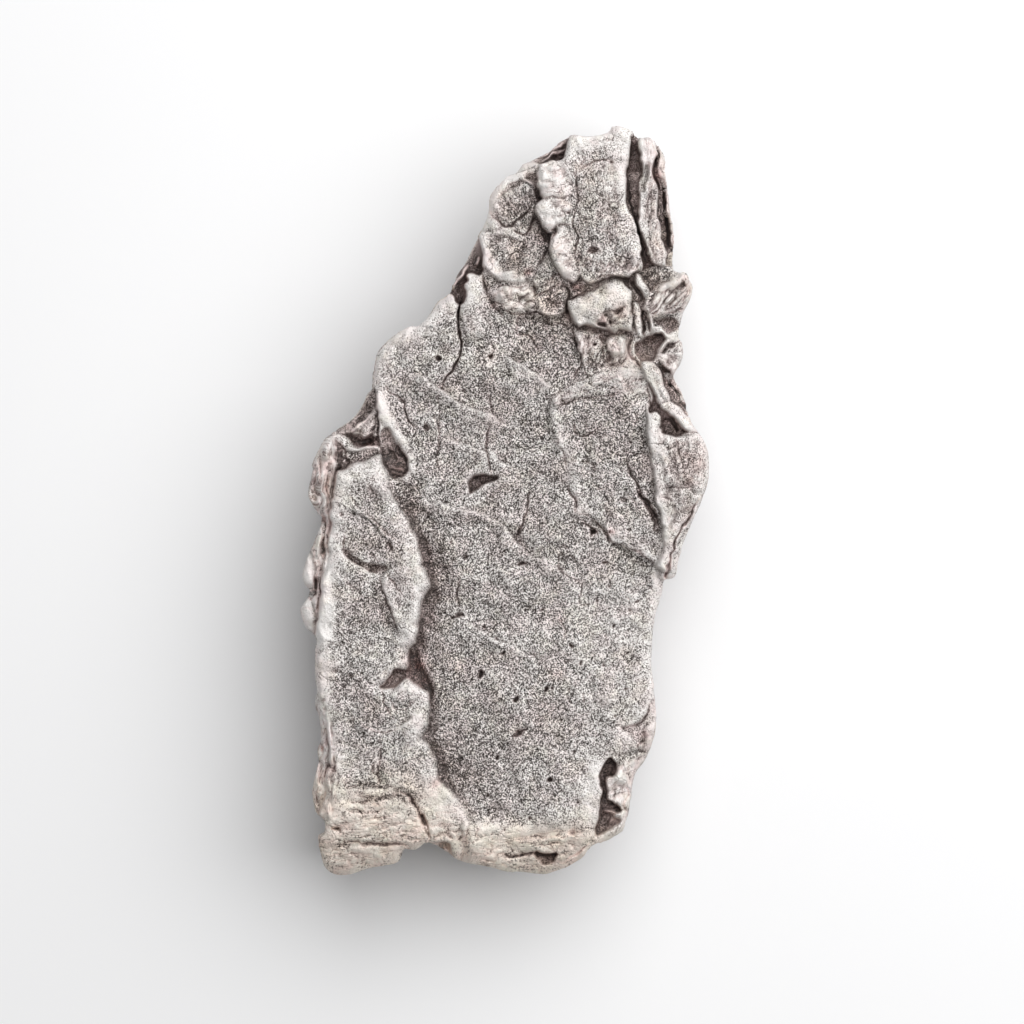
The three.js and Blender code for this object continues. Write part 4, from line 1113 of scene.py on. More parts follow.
split([-6, -280, -1, -281, 4, -283, 10, -282.5, 15, -281.2, 21, -282, 29, -282, 43, -280.5], 0.4,
    0.6)
split([48, -287.5, 53, -284, 58, -281, 63, -276, 67, -271], 0.3, 0.4)
hollow([25, -281, 33, -280.5, 41.5, -281, 41.5, -284, 37.5, -287, 32, -288.5, 28, -286], 7.6,
    brown=0.95, lip=0.15)
each(facet,
    ([25, -280, 42, -280, 42, -285, 32, -289.5, 28, -287], -0.3, 0.1),
    ([6, -269, 24, -266, 46, -265, 56, -269, 44, -276, 20, -278], -0.1),
    ([-24, -286, -6, -285, 3, -290, -10, -293], -0.15),
)
for path in (
    [-21, -286, -13, -287, -6, -286],
    [-3.5, -288, 1.5, -291.5],
    [22, -269, 33, -268, 44, -267.5, 53, -267],
    [24, -274, 36, -273, 49, -272],
):
    split(path, 0.28, 0.3, 0.7)
step_down([66, -260, 52, -265, 36, -267, 20, -269, 4, -270], -0.3, 0.8)

# the slot and the lower block
plate([84, -206, 94, -203, 118, -201, 117, -220, 110, -246, 99, -272, 72, -276, 74, -266, 82, -240,
    82, -220], 10.9, shoulder=0.6, drop=0.3, tilt=(-0.3, 0.12), cliff=0.6)
hollow([85, -205, 78.5, -212, 77.3, -233, 76, -250, 73, -265, 79, -266, 87, -259, 91, -254,
    86.5, -250, 93, -246, 88, -240, 81.5, -237, 81.5, -223, 87, -217, 89, -209], 7.6, brown=0.8,
    lip=0.3, fillet=0)
facet([82, -223, 88, -217, 92, -208, 116, -206, 108, -236, 96, -244, 88, -240, 82, -236], 0.26,
    soft=0.3)
each(split,
    ([96, -226, 98, -234, 96, -243, 99, -250], 0.4, 0.5, 0.8),
    ([79.5, -244, 86, -245, 94, -243], 0.2, 0.4),
    ([93, -212, 99, -218, 98, -224], 0.16, 0.3, 0.6),
)
ridge([79, -247, 86, -248, 92, -249], 0.25, 0.8, rub=0.5)
tint(front.rust, (83, -216, 0.4, 0.8))
fibres([84, -212, 92, -206, 116, -204, 108, -240, 96, -268, 80, -268, 82, -242], 75, 0.9, 0.4, 0.2,
    dark=0.5)

# the worn hollow in the flank above them
hollow([92, -180.5, 100, -177.5, 108, -175.5, 112, -171, 115, -164, 119.5, -156, 130, -165,
    128, -190, 119, -202, 109, -200, 109, -192, 102, -186], 10.4, brown=0.35, lip=0.35)
split([92, -181, 100, -178, 109, -176.5, 113, -170, 117, -161], 0.24, 0.5, 0.8)
split([113, -188, 107.5, -192, 106, -197, 110, -200], 0.18, 0.4)
ridge([118, -174, 114, -186, 115, -196], 0.6, 0.3, rub=0.6)
tint(front.rust, (112, -186, 0.4, 0.5))

# ---------------------------------------------------------
# Cracks and pits of the broad middle: upright cracks, a few short crooked ones, and pits
# where soft grains have been etched out.
# ---------------------------------------------------------
each(split,
    ([-56.5, 69, -54.5, 60, -53, 50, -54, 36, -53, 24], 0.14, 0.3, 0.75),
    ([-12, 86, -12, 77, -12.5, 70], 0.16, 0.4, 0.85),
    ([-13, 61, -14, 52, -14, 42, -13, 32, -12.5, 22], 0.26, 0.5, 0.85),
    ([18.5, 9, 18, 1, 16.5, -9, 13, -20, 7.5, -30], 0.24, 0.5),
    ([0, 13, -6, 8, -13, 3], 0.12, 0.12, 0.4),
    ([50.5, -60, 56, -62.5, 61, -66, 60.5, -79, 63, -83, 71, -80], 0.15, 0.3, 0.75),
    ([45.5, -39, 43.5, -44, 44, -51, 47, -56, 51, -59], 0.16, 0.25, 0.8),
    ([52, -42, 56, -46, 57.5, -55], 0.14, 0.2, 0.65),
    ([43, -36, 47, -35, 50, -39], 0.14, 0.2, 0.65),
    ([43, -93, 47, -98, 49, -105, 46, -110], 0.2, 0.3, 0.7),
    ([-36, -62, -37.5, -72, -37.5, -84], 0.32, 0.35, 0.8),
    ([18, -154, 19.5, -159, 20.5, -164], 0.14, 0.2, 0.6),
    ([63, -152, 64, -159, 65, -161], 0.12, 0.2, 0.6),
    ([21, -119, 24, -123, 29, -129], 0.15, 0.15, 0.5),
    ([5, -146, 8, -151, 9.5, -156], 0.14, 0.2, 0.55),
    ([61, -17, 66, -20, 72, -23], 0.2, 0.25, 0.6),
    ([61, 82, 50, 80, 43, 74], 0.12, 0.15, 0.45),
    ([-89, -2, -76, 9, -66, 13], 0.12, 0.1, 0.35),
)

hollow([-28, 11.5, -27.2, 17, -22, 20.5, -15.5, 21.7, -9.5, 21, -6.5, 19.5, -7.5, 17.5,
    -14.3, 14.3, -21.7, 10.6, -27.2, 7.8], 9.2, brown=0.95, lip=0.25, fillet=0.1)
tint(front.rust, (-19, 16, 0.5, 0.25))

each(pit,
    (-53, 115, 0.55, 0.45, 0, 0.55), (-62, -12, 0.3, 0.2, 0, 0.55), (9, -184, 0.75, 0.5, 35, 0.55),
    (14, -181.5, 0.8, 0.22, 15, 0.55), (-6, -204, 0.5, 0.3, 70, 0.55),
    (36, -221, 0.5, 0.4, 0, 0.55), (56, -200, 0.22, 0.22, 0, 0.55), (20, -252, 0.35, 0.3, 0, 0.55),
    (-37.5, -90.5, 0.7, 0.5, 10, 0.55), (-42.5, -91, 0.35, 0.25, 0, 0.55),
    (53, -114.5, 0.55, 0.28, -35, 0.55), (60.5, -128, 0.45, 0.22, 75, 0.55),
    (81, -108, 0.26, 0.14, -30, 0.55), (106.5, -79.5, 0.35, 0.15, -10, 0.55),
    (100, -86.5, 0.3, 0.15, 60, 0.55), (99, -120, 0.22, 0.2, 0, 0.55),
    (34, -148.5, 0.4, 0.34, 0, 0.55), (38.5, -148, 0.3, 0.18, 20, 0.55),
    (74.5, -78.5, 0.35, 0.2, 80, 0.55), (86.5, -98, 0.5, 0.14, 85, 0.55),
    (96, -150, 0.3, 0.22, 0, 0.55), (84.5, -66.5, 0.3, 0.2, -20, 0.55),
    (100, -75.5, 0.22, 0.14, 0, 0.55), (14, -49.5, 0.95, 0.34, 20, 0.55),
    (-17, -99.5, 0.3, 0.25, 0, 0.55), (-7, -109, 0.4, 0.25, -30, 0.55),
    (-1.5, -121.5, 0.42, 0.32, 0, 0.55), (-20, -136.5, 0.7, 0.45, 70, 0.55),
    (8.5, -157, 0.6, 0.4, 40, 0.55), (80, -48.5, 0.6, 0.3, 10, 0.55),
    (69.5, -24.5, 0.5, 0.35, -20, 0.55), (-59, -132, 0.3, 0.2, 0, 0.55),
    (46, -174, 0.2, 0.2, 0, 0.55), (99, 49, 0.3, 0.2, 20, 0.55), (11, -31, 0.2, 0.15, 0, 0.55),
    (-44, -32, 0.25, 0.2, 0, 0.55), (29, -86, 0.25, 0.18, 40, 0.55),
    (79, -130, 0.22, 0.14, 60, 0.55), (52, -149, 0.25, 0.15, 60, 0.55),
    (-34, 89, 0.25, 0.2, 0, 0.55), (22, 50, 0.22, 0.2, 0, 0.55), (88, -171, 0.2, 0.16, 0, 0.55),
    (-14, -233, 0.3, 0.25, 30, 0.55), (59, -239, 0.22, 0.2, 0, 0.55),
    (4, -226, 0.25, 0.2, 0, 0.55),
)
pit(-31.5, -44.5, 0.5, 0.4, turn=60, depth=0.2, brown=0.45)
# one pit has a round kernel left in it
pit(-64, 59, 0.62, 0.62, depth=0.3, brown=0.8)
ridge([-64.2, 58.8, -63.8, 59.2], 0.34, 0.3, rub=0.1)
tint(front.rust, (41, -138, 0.7, 0.35), (35, -165, 0.8, 0.3), (44, -93, 0.6, 0.3),
    (26, -173, 0.9, 0.2), (-36, -131, 0.6, 0.2), (47, -104, 0.4, 0.25), (9, -173, 0.5, 0.2),
    (83, 44, 0.9, 0.15), (61, -8, 0.5, 0.3), (96, 92, 0.7, 0.2))

# last strokes of paler and darker metal: the pale ones are mostly painted light that lifts gaps,
# the feet of cliffs and faces turned from the lamp out of their shade; the dark ones are painted
# shade
each(shade,
    # the laths and the gaps between them at the narrow end's right corner
    ([110, 294, 114, 284, 117, 268], 1.6, 0.3),
    ([26, 280, 36, 284, 48, 290], 0.9, 0.16),
    ([100, 274, 99.5, 254, 102, 236], 0.5, -0.04),
    ([109, 256, 109, 236, 110, 216, 113, 198], 0.7, 0.16),
    ([128, 236, 129.5, 220, 133, 196], 0.6, -0.18),
    ([66, 266, 80, 260, 82, 242], 2.2, 0.08),
    # the slab's foot and the lumps on its left
    ([44, 182, 54, 177, 64, 177, 76, 174, 88, 176], 0.7, 0.16),
    ([25, 264, 27, 254, 28, 246], 0.8, 0.14),
    ([34, 221, 44, 220, 54, 224], 0.9, 0.12),
    ([2, 185, 12, 183, 24, 183, 32, 188], 0.8, -0.13),
    ([-27, 154, -25, 142], 1.2, -0.1),
    ([-33, 174, -32, 164, -6, 164, -7, 158], 0.7, 0.1),
    # round the nugget
    ([51, 154, 56, 143, 70, 140, 86, 135, 100, 136], 0.7, 0.2),
    ([102, 179, 108, 171, 110, 160, 109, 146], 0.9, 0.16),
    ([84, 126, 94, 122, 96, 114, 86, 112], 1.9, 0.22),
    ([66, 128, 68, 114], 1.4, 0.12),
    ([132, 150, 139, 148, 144, 152], 0.6, 0.14),
    ([101, 138, 112, 135, 124, 135, 132, 133], 0.7, 0.26),
    ([96, 120, 106, 106, 114, 98], 0.9, 0.16),
    # the right flank's laths, and the edge of the bright ridge
    ([102, 112, 111, 104, 117, 92, 122, 82], 0.9, 0.18),
    ([128, 106, 134, 94, 141, 80], 0.5, -0.2),
    ([132, 112, 140, 96], 0.4, 0.14),
    ([128, 72, 136, 66, 146, 58], 0.9, 0.32),
    ([126, 114, 134, 102, 144, 86], 0.5, 0.16),
    ([114, 66, 115, 44, 117.5, 22], 0.7, 0.32),
    ([120, 12, 123, 0, 127, -14, 128, -32], 0.8, 0.28),
    ([126, -32, 124, -46, 120, -64], 0.9, 0.24),
    ([132, -46, 130, -60], 0.7, 0.3),
    ([116, -54, 118, -70], 1, 0.14),
    ([146, 18, 150, 32], 1.2, -0.08),
    # the borders of the upper right plate
    ([40, 70, 43, 52, 49, 34, 53, 14, 59, -6], 0.7, 0.14),
    ([59, -8, 72, -19, 84, -29, 98, -36, 112, -44], 0.7, 0.14),
    # the left flank
    ([-89, 12, -82, 18, -78, 26], 1.2, 0.12),
    ([-98, 86, -97, 70, -97, 56, -90, 50], 1.1, 0.2),
    ([-109, 43, -101, 43, -94, 46], 0.6, 0.2),
    ([-136, 46, -132, 40], 0.8, 0.22),
    ([-139, 30, -141, 14, -143, -4, -146, -18], 1.1, 0.16),
    ([-148, -30, -148, -64], 0.9, 0.2),
    ([-94, -96, -104, -68], 1, -0.06),
    ([-142, -102, -134, -104], 1.2, -0.08),
    ([-116, -56, -100, -56, -90, -44], 0.9, 0.1),
    ([-96, -149, -84, -146, -70, -148, -64, -136], 1, 0.13),
    ([-145, -124, -147, -160, -144, -200, -144, -246], 0.9, 0.17),
    ([-149, -194, -151, -220, -151, -246], 0.9, 0.26),
    ([-149, -244, -145, -266, -138, -282], 0.9, 0.22),
    ([54, -283, 72, -279, 86, -275], 1, 0.22),
    ([-112, -54, -108, -66], 1, 0.1),
    ([-92, -174, -90, -186], 1.1, 0.09),
    ([-90, -214, -88, -226], 1.2, 0.1),
    ([-54, -256, -44, -264], 1.2, -0.08),
    ([-54, -34, -46, -50], 1.4, -0.08),
    ([-72, 26, -72, -6], 1.2, -0.08),
    ([28, -16, 34, -26], 1.2, -0.1),
    ([6, 26, 14, -4], 1.2, -0.06),
    ([6, 106, 34, 102], 1.2, -0.06),
    ([-118, -229, -104, -228, -94, -226], 1.3, 0.14),
    ([-86, -164, -78, -169], 1, 0.08),
    # the slot and the lower block
    ([84, -212, 90, -214], 0.8, 0.16),
    ([86, -248, 90, -258, 84, -268], 1.3, 0.36),
    ([-88, -238, -72, -244], 0.7, -0.1),
    ([-46, -240, -36, -256, -20, -260], 1.2, -0.12),
    ([96, -180, 92, -200], 1.4, 0.1),
    ([69, -206, 68, -230, 64, -254], 1.5, 0.14),
    ([44, -62, 49, -26, 54, -2], 1.6, -0.07),
    ([102, -190, 110, -192], 0.9, -0.1),
    # the last of the paler places, painted light among them: first the narrow end and the nugget's
    # top
    ([84, 276, 88, 264, 92, 252], 1.4, 0.14),
    ([109, 274, 116, 262, 124, 256], 1.3, 0.15),
    ([60, 236, 62, 220], 1.6, 0.07),
    ([4, 216, 10, 202], 1.4, 0.06),
    ([4, 146, 24, 142], 1.4, 0.06),
    ([56, 148, 78, 142], 1, 0.06),
    ([66, 163, 78, 169, 92, 162], 1.8, 0.1),
    ([60, 152, 74, 154], 1.6, 0.08),
    ([119, 178, 130, 164], 2, 0.06),
    # down the right flank
    ([98, 126, 106, 118, 116, 114, 124, 124], 1.4, 0.17),
    ([102, 90, 106, 76], 1.3, 0.09),
    ([92, 100, 104, 96, 104, 84], 2.2, 0.09),
    ([112, 68, 120, 52, 126, 36], 1.3, 0.17),
    ([136, 46, 144, 36], 1.2, 0.07),
    ([122, -52, 119, -78], 1.2, 0.2),
    ([98, -174, 104, -184], 1.2, 0.07),
    ([92, -214, 102, -228], 1.1, 0.18),
    # down the left flank and along the broad end
    ([-144, 24, -147, 0, -146, -24], 1.2, 0.17),
    ([-84, 8, -82, -6], 1, 0.05),
    ([-104, -60, -98, -70], 1, 0.06),
    ([-84, -176, -82, -186], 1.4, 0.05),
    ([-86, -220, -76, -224], 1.2, 0.06),
    ([-140, -176, -142, -210, -142, -250, -140, -284], 1.3, 0.08),
    ([-38, -256, -44, -264], 1, -0.08),
    ([62, -276, 74, -278, 86, -272], 1.6, 0.12),
    ([-10, -294, 26, -296, 44, -288], 1.2, 0.09),
)

# ---------------------------------------------------------
# The back: it swells, rises towards the rim and the narrow end, is torn in low steps like
# the face, and is worn flat where the slab rests. Its height is counted downwards, from 0
# at the resting plane.
# ---------------------------------------------------------
BACK_INSET = 1.5                # how far in from the outline the back starts
RIM_RISE, TIP_RISE = 2.6, 2.4   # how high it stands at the rim and at the narrow end
BACK_CUT = 0.4                  # how deep the resting plane cuts into it
rise = RIM_RISE * np.exp(-np.clip(to_rim - BACK_INSET, 0, None) / 2.4)
rise += (TIP_RISE * smooth(15, 30, ground_y) + 0.5 * swell(ground_x / 8 + 3, ground_y / 8)
         - BACK_CUT)
back.height -= np.maximum(rise, 0)
worn_flat = smooth(0.4, 0, rise)
torn = swell(slant_x / 7, slant_y / 4.5, 41.5) + 0.2 * swell(bent_x, bent_y, 42.5)
back.height -= 0.55 * smooth(-0.03, 0.03, torn)
torn = swell(bent_x / 5, bent_y / 6.5, 43.5) + 0.15 * swell(bent_x / 1.2, bent_y / 1.2, 44.5)
back.height -= 0.35 * smooth(-0.02, 0.02, torn - 0.1)
back.height += 0.16 * hills(2.1, 45.5)
back.height += 0.1 * swell(slant_x / 5, slant_y / 1.1, 46.5)

worked = back
random = np.random.default_rng(20)
for _ in range(26):
    start = random.uniform((-130, -270), (130, 270))
    turns = np.cumsum(random.normal(0, 0.45, 6)) + random.uniform(0, 2 * np.pi)
    steps = random.uniform(5, 16, 6)[:, None] * np.stack([np.cos(turns), np.sin(turns)], 1)
    width = random.uniform(0.14, 0.34)
    split(start + np.cumsum(steps, 0), width, 2.5 * width, random.uniform(0.5, 0.95))
for _ in range(90):
    x, y = random.uniform((-140, -280), (140, 280))
    long = random.lognormal(-1.0, 0.45)
    pit(x, y, long, long * random.uniform(0.5, 0.9), random.uniform(0, 180),
        depth=random.uniform(0.3, 0.7))
for _ in range(16):
    x, y = random.uniform((-130, -270), (130, 270))
    tint(back.rust, (x, y, random.uniform(0.4, 1.3), random.uniform(0.2, 0.6)))
back.height = np.minimum(back.height, 0)

# ---------------------------------------------------------
# Wear and painted cavity light. Edges that stand proud get a painted highlight and are rubbed
# smooth; whatever lies lower than the ground around it gets painted shade and keeps a brown
# film. All come from the height against its own blur.
# ---------------------------------------------------------


def blurred(field, sigma):
    """A raster spread by a bell curve, by way of its frequencies: sigma is in raster steps."""
    rows, columns = field.shape
    fall_y = np.exp(-2 * (np.pi * sigma * np.fft.fftfreq(rows)) ** 2)[:, None]
    fall_x = np.exp(-2 * (np.pi * sigma * np.fft.rfftfreq(columns)) ** 2)[None]
    return np.fft.irfft2(np.fft.rfft2(field) * fall_y * fall_x, s=field.shape)


def wear_and_cavity_light(side, height, step):
    """Works out a side's rubbing, brown film and painted cavity light from how far its height is
    over its own blur, at five sizes in mm: over = tanh((height - blur) / proud) paints a
    highlight into its tone, or painted shade below nought, and at the larger sizes it adds to
    the rubbing and the film, as do the pale and dark strokes. The step is the raster's."""
    side.tone = np.clip(side.shade, -0.35, 0.42) - 0.27 * side.dark
    for sigma, proud, weight in ((0.1, 0.04, 0.1), (0.22, 0.09, 0.09), (0.5, 0.18, 0.08),
                                 (1.1, 0.35, 0.07), (2.2, 0.6, 0.05)):
        over = np.tanh((height - blurred(height, sigma / step)) / proud)
        side.tone += weight * np.where(over > 0, over, (0.65 if sigma < 0.5 else 0.35) * over)
        if sigma > 0.5:
            side.polish += 0.28 * np.clip(over, 0, 1)
            side.stain += 0.3 * smooth(0.4, 1, -over)
    side.polish += 1.6 * np.clip(side.shade, 0, 1)
    side.stain += 1.5 * np.clip(-side.shade, 0, 1)
    for field in (side.polish, side.stain):
        np.clip(field, 0, 1, out=field)


def crumple(x, y, sizes, heights):
    """Rough ground: at each size, rounded lumps with creases between them, the height times
    twice the absolute value of the noise, less its mean."""
    total = np.zeros(x.shape)
    for turn, (size, height) in enumerate(zip(sizes, heights)):
        c, s = np.cos(0.7 + turn), np.sin(0.7 + turn)
        lumps = swell((x * c + y * s) / size, (y * c - x * s) / size, 100.5 + 7 * turn)
        total += height * (2 * np.abs(lumps) - 0.5)
    return total


# The slab's edge rounds over within a millimetre of the outline, and beyond it the ground
# drops away, so that the rim counts as an edge that stands proud and gets a painted highlight.
EDGE_WIDTH, EDGE_DROP = 0.9, 0.75
tint(front.warm, (72, 158, 2, 0.9), (92, 148, 1.6, 1), (29, 160, 1.9, 1), (8, 158, 1.3, 0.7),
    (46, 146, 1.5, 0.7), (85, 126, 1.8, 0.6), (126, 174, 1.5, 0.7), (146, 168, 1.3, 0.6),
    (139, 225, 0.9, 0.8), (136, 256, 0.9, 0.7), (122, 205, 1.1, 0.7), (12, 194, 1.4, 0.6),
    (4, 229, 1.2, 0.5), (56, 196, 1.6, 0.4), (76, 242, 1.8, 0.35), (106, 110, 1.4, 0.5),
    (146, 90, 1.4, 0.4), (149, 30, 1.5, 0.4), (-136, 12, 1.2, 0.6), (-152, -34, 1.2, 0.6),
    (-149, -134, 1, 0.5), (94, -246, 1.2, 0.6), (109, -206, 1, 0.4))
t = np.clip(to_rim / EDGE_WIDTH, 0, 1)
front.height -= EDGE_DROP * (1 - np.sqrt(1 - (1 - t) ** 2))
rough = 0.6 + 0.4 * hills(3, 9.5)
lumps = crumple(bent_x, bent_y, (3.1, 1.5, 0.8, 0.45), (0.22, 0.17, 0.13, 0.08))
front.height += rough * lumps * (1 - 0.55 * near_end)
back.height += lumps[:, ::-1] * (1 - 0.75 * worn_flat)
back.height = np.minimum(back.height, 0)
beyond = 1.5 * np.clip(-to_rim, 0, 1.2)
wear_and_cavity_light(front, front.height - beyond, STEP)
wear_and_cavity_light(back, back.height, STEP)
back.polish = np.clip(np.maximum(back.polish, 0.5 * worn_flat), 0, 1)
warm_end = smooth(-24.5, -27, ground_y + 0.8 * hills(1.5, 31.5))
warm_left = smooth(-19.5, -24.0, ground_y + 1.5 * hills(2, 32.5))
warm_left = 0.85 * warm_left * smooth(-2.5, -6.5, ground_x)
for area in (warm_end, warm_left, 0.8 * near_end):
    front.warm = np.maximum(front.warm, area)
back.warm = smooth(0.1, 0.7, hills(6, 47.5))
back.tone += 0.08 * worn_flat
# painted light on the ledge of layers; and a painted highlight along the outline, more at the
# broad end
# painted paler: the broad end, partly its creamy weathering and partly painted light on its roll;
front.tone += (0.64 * near_end * (1 - front.dark) ** 2 + 0.14 * on_ledge
               + 0.24 * smooth(0.7, 0.1, to_rim))
front.tone += 0.1 * smooth(1.5, 0.4, to_rim) * smooth(-23, -27, ground_y)

# ---------------------------------------------------------
# The rim: the slab's side, where the metal has torn into flattish pieces with gaps between
# them. Every place belongs to the nearest of many scattered seats, and each seat's piece is
# set back and leans by chance. The rim also leans in below its widest line.
# ---------------------------------------------------------
FACE_INSET = 0.14               # how far in from the outline the face ends
RIM_ROWS = 72
RIM_STEP = 0.13                 # about how many mm its places lie apart
RIM_TUCK = 1.3                  # how far it leans in from its widest line to its foot
PIECES = 300                    # torn pieces that the rim is made of
FLATNESS = 1.9                  # how much wider than high they are

ahead = np.roll(outline, -6, 0) - np.roll(outline, 6, 0)
ahead = np.stack([np.convolve(np.pad(ahead[:, axis], 8, "wrap"), np.ones(17) / 17, "valid")
                  for axis in (0, 1)], 1)
outward = np.stack([ahead[:, 1], -ahead[:, 0]], 1)
outward /= np.linalg.norm(outward, axis=1)[:, None]


def filled(loop):
    """The plan's grid inside a loop, a Coons patch: the blend of its two flanks plus the
    blend of its two ends, less the blend of its four corners."""
    u = (np.arange(ACROSS + 1) / ACROSS)[None, :, None]
    v = (np.arange(ALONG + 1) / ALONG)[:, None, None]
    ring = np.concatenate((loop, loop[:1]))
    low, east, high, west = np.split(np.arange(len(ring) - 1), np.cumsum([ACROSS, ALONG, ACROSS]))
    low, high = ring[low[0] : low[-1] + 2][None], ring[high[0] : high[-1] + 2][::-1][None]
    east, west = ring[east[0] : east[-1] + 2][:, None], ring[west[0] :][::-1][:, None]
    corners = (1 - v) * ((1 - u) * low[:, :1] + u * low[:, -1:])
    corners = corners + v * ((1 - u) * high[:, :1] + u * high[:, -1:])
    return (1 - u) * west + u * east + (1 - v) * low + v * high - corners


def border(grid):
    """The outer places of a grid in the outline's order, from the first corner round."""
    return np.concatenate((grid[0, :-1], grid[:-1, -1], grid[-1, :0:-1], grid[:0:-1, 0]))


plan = filled(outline - FACE_INSET * outward)
back_plan = filled(outline - BACK_INSET * outward)
front_grid = np.dstack((plan, sample(front.height, plan[..., 0], plan[..., 1])))
back_grid = np.dstack((back_plan, -sample(back.height, back_plan[..., 0], back_plan[..., 1])))

x, y = outline[:, 0], outline[:, 1]
share = np.linspace(0, 1, RIM_ROWS)[:, None]
top = border(front_grid)[:, 2] - 0.1
foot = border(back_grid)[:, 2] + 0.2
z = top + (foot - top) * share
widest = 0.26 + 0.2 * swell(x / 12, y / 12, 3.5)
random = np.random.default_rng(7)
seats = outline[random.integers(0, len(outline), PIECES)] + random.normal(0, 0.5, (PIECES, 2))
seats = np.column_stack((seats, random.uniform(0, 13, PIECES)))
bend = 0.6 * swell(x / 1.6, y / 1.6, z / 1.1 + 51.5)
bend = bend + 0.2 * swell(x / 0.5, y / 0.5, z / 0.4 + 52.5)
nearest = np.full(z.shape, np.inf)
second, piece = nearest.copy(), np.zeros(z.shape, int)
for index, seat in enumerate(seats):
    level_away = np.hypot(x + bend - seat[0], y - seat[1])
    away = np.hypot(level_away, FLATNESS * (z + 0.6 * bend - seat[2]))
    second = np.where(away < nearest, nearest, np.minimum(second, away))
    piece = np.where(away < nearest, index, piece)
    nearest = np.minimum(nearest, away)
set_back = random.uniform(0, 0.8, PIECES)
lean = random.normal(0, (0.16, 0.16, 0.28), (PIECES, 3))
worn_in = set_back[piece]
for axis, places in enumerate((x, y, z)):
    worn_in = worn_in + lean[piece, axis] * (places - seats[piece, axis])
gap = smooth(0.3, 0.05, second - nearest)
gap = gap * smooth(-0.3, 0.3, swell(x / 2.5, y / 2.5, z / 2 + 90.5))
worn_in = np.clip(worn_in, 0, 1.4) + 0.35 * gap
for size, height in ((1.6, 0.2), (0.8, 0.13), (0.42, 0.07)):
    worn_in += height * 2 * np.abs(swell(x / size, y / size, z / size + 10 * size))
worn_in *= smooth(-0.03, 0.06, share)
below = np.clip(share - widest, 0, 1) / (1 - widest)
inwards = worn_in * np.clip(0.15 + 4 * np.abs(share - widest), 0, 1) + RIM_TUCK * below**2
rim = np.dstack((x - inwards * outward[:, 0], y - inwards * outward[:, 1], z))

# the gaps between the rim's pieces hold a brown film and painted shade
edge = SimpleNamespace(stain=0.8 * gap, polish=np.zeros(z.shape), dark=0.9 * gap)
edge.shade = 0.1 * swell(x / 4, y / 4, z / 3 + 30) + random.uniform(-0.08, 0.1, PIECES)[piece]
edge.streaks = 0.75 * smooth(-0.2, 0.4, swell(x / 3, y / 3, z / 2 + 40))
edge.lie_x = edge.lie_y = np.zeros(z.shape)
edge.rust = 0.5 * smooth(0.55, 0.8, swell(x / 1.5, y / 1.5, z / 0.7 + 20))
wear_and_cavity_light(edge, -inwards, RIM_STEP)
# the upper part of the rim gets a painted highlight, twice as strong at the broad end
edge.tone += 0.16 * smooth(0.34, 0.06, share) * (1 + smooth(-23, -27, y))
edge.warm = np.maximum(sample(front.warm, x, y), smooth(0.1, 0.6, swell(x / 6, y / 6, z / 6 + 9)))

# ---------------------------------------------------------
# The three surfaces are joined into one closed mesh and brought to the solid's box. Where
# the metal is smooth, triangles are merged, so that the cracks and steps keep them.
# ---------------------------------------------------------
TRIANGLES = 196000


def quads(index):
    """The quads of a grid of vertex numbers, wound from its first row to its second."""
    return np.stack((index[:-1, :-1], index[:-1, 1:], index[1:, 1:], index[1:, :-1]), -1)


def at_grid(name, grid, side):
    """One of a side's masks at the places of a grid."""
    return sample(getattr(side, name), grid[..., 0], grid[..., 1]).ravel()


corners = np.concatenate([grid.reshape(-1, 3) for grid in (front_grid, rim, back_grid)])
count = front_grid[..., 0].size
front_index = np.arange(count).reshape(front_grid.shape[:2])
rim_index = count + np.arange(rim[..., 0].size).reshape(rim.shape[:2])
back_index = count + rim_index.size + np.arange(back_grid[..., 0].size).reshape(
    back_grid.shape[:2])
band = np.concatenate((border(front_index)[None], rim_index, border(back_index)[None]))
band = np.concatenate((band, band[:, :1]), 1)
faces = np.concatenate([grid.reshape(-1, 4) for grid in (
    quads(front_index), quads(band)[..., ::-1], quads(back_index)[..., ::-1])])

mesh = bpy.data.meshes.new("meteorite_skin")
mesh.vertices.add(len(corners))
mesh.vertices.foreach_set("co", corners.ravel())
mesh.loops.add(faces.size)
mesh.loops.foreach_set("vertex_index", faces.ravel())
mesh.polygons.add(len(faces))
mesh.polygons.foreach_set("loop_start", np.arange(0, faces.size, 4))
for name in ("tone", "stain", "rust", "polish", "warm", "streaks", "lie_x", "lie_y"):
    values = np.concatenate((at_grid(name, front_grid, front), getattr(edge, name).ravel(),
                             at_grid(name, back_grid, back)))
    mesh.attributes.new(name, "FLOAT", "POINT").data.foreach_set("value", values)
mesh.update(calc_edges=True)

meteorite = bpy.data.objects.new("meteorite_skin", mesh)
bpy.context.scene.collection.objects.link(meteorite)
thinner = meteorite.modifiers.new("thinner", "DECIMATE")
thinner.ratio = TRIANGLES / (2 * len(faces))
thinner.use_collapse_triangulate = True
group = meteorite.vertex_groups.new(name="spared")
group.add(range(count), 0.5, "REPLACE")
group.add(range(count, len(corners)), 1.0, "REPLACE")
thinner.vertex_group = "spared"
thinner.vertex_group_factor = 0.002
evaluated = meteorite.evaluated_get(bpy.context.evaluated_depsgraph_get())
thinned = bpy.data.meshes.new_from_object(evaluated)
meteorite.modifiers.clear()
meteorite.data = thinned
bpy.data.meshes.remove(mesh)
thinned.name = "meteorite_skin"
thinned.shade_smooth()

kept = np.empty(3 * len(thinned.vertices))
thinned.vertices.foreach_get("co", kept)
kept = kept.reshape(-1, 3)
lowest, highest = kept.min(0), kept.max(0)
kept = (kept - lowest) / (highest - lowest)
kept = kept * (np.array(cad_high) - np.array(cad_low)) + np.array(cad_low)
thinned.vertices.foreach_set("co", kept.ravel())
thinned.update()

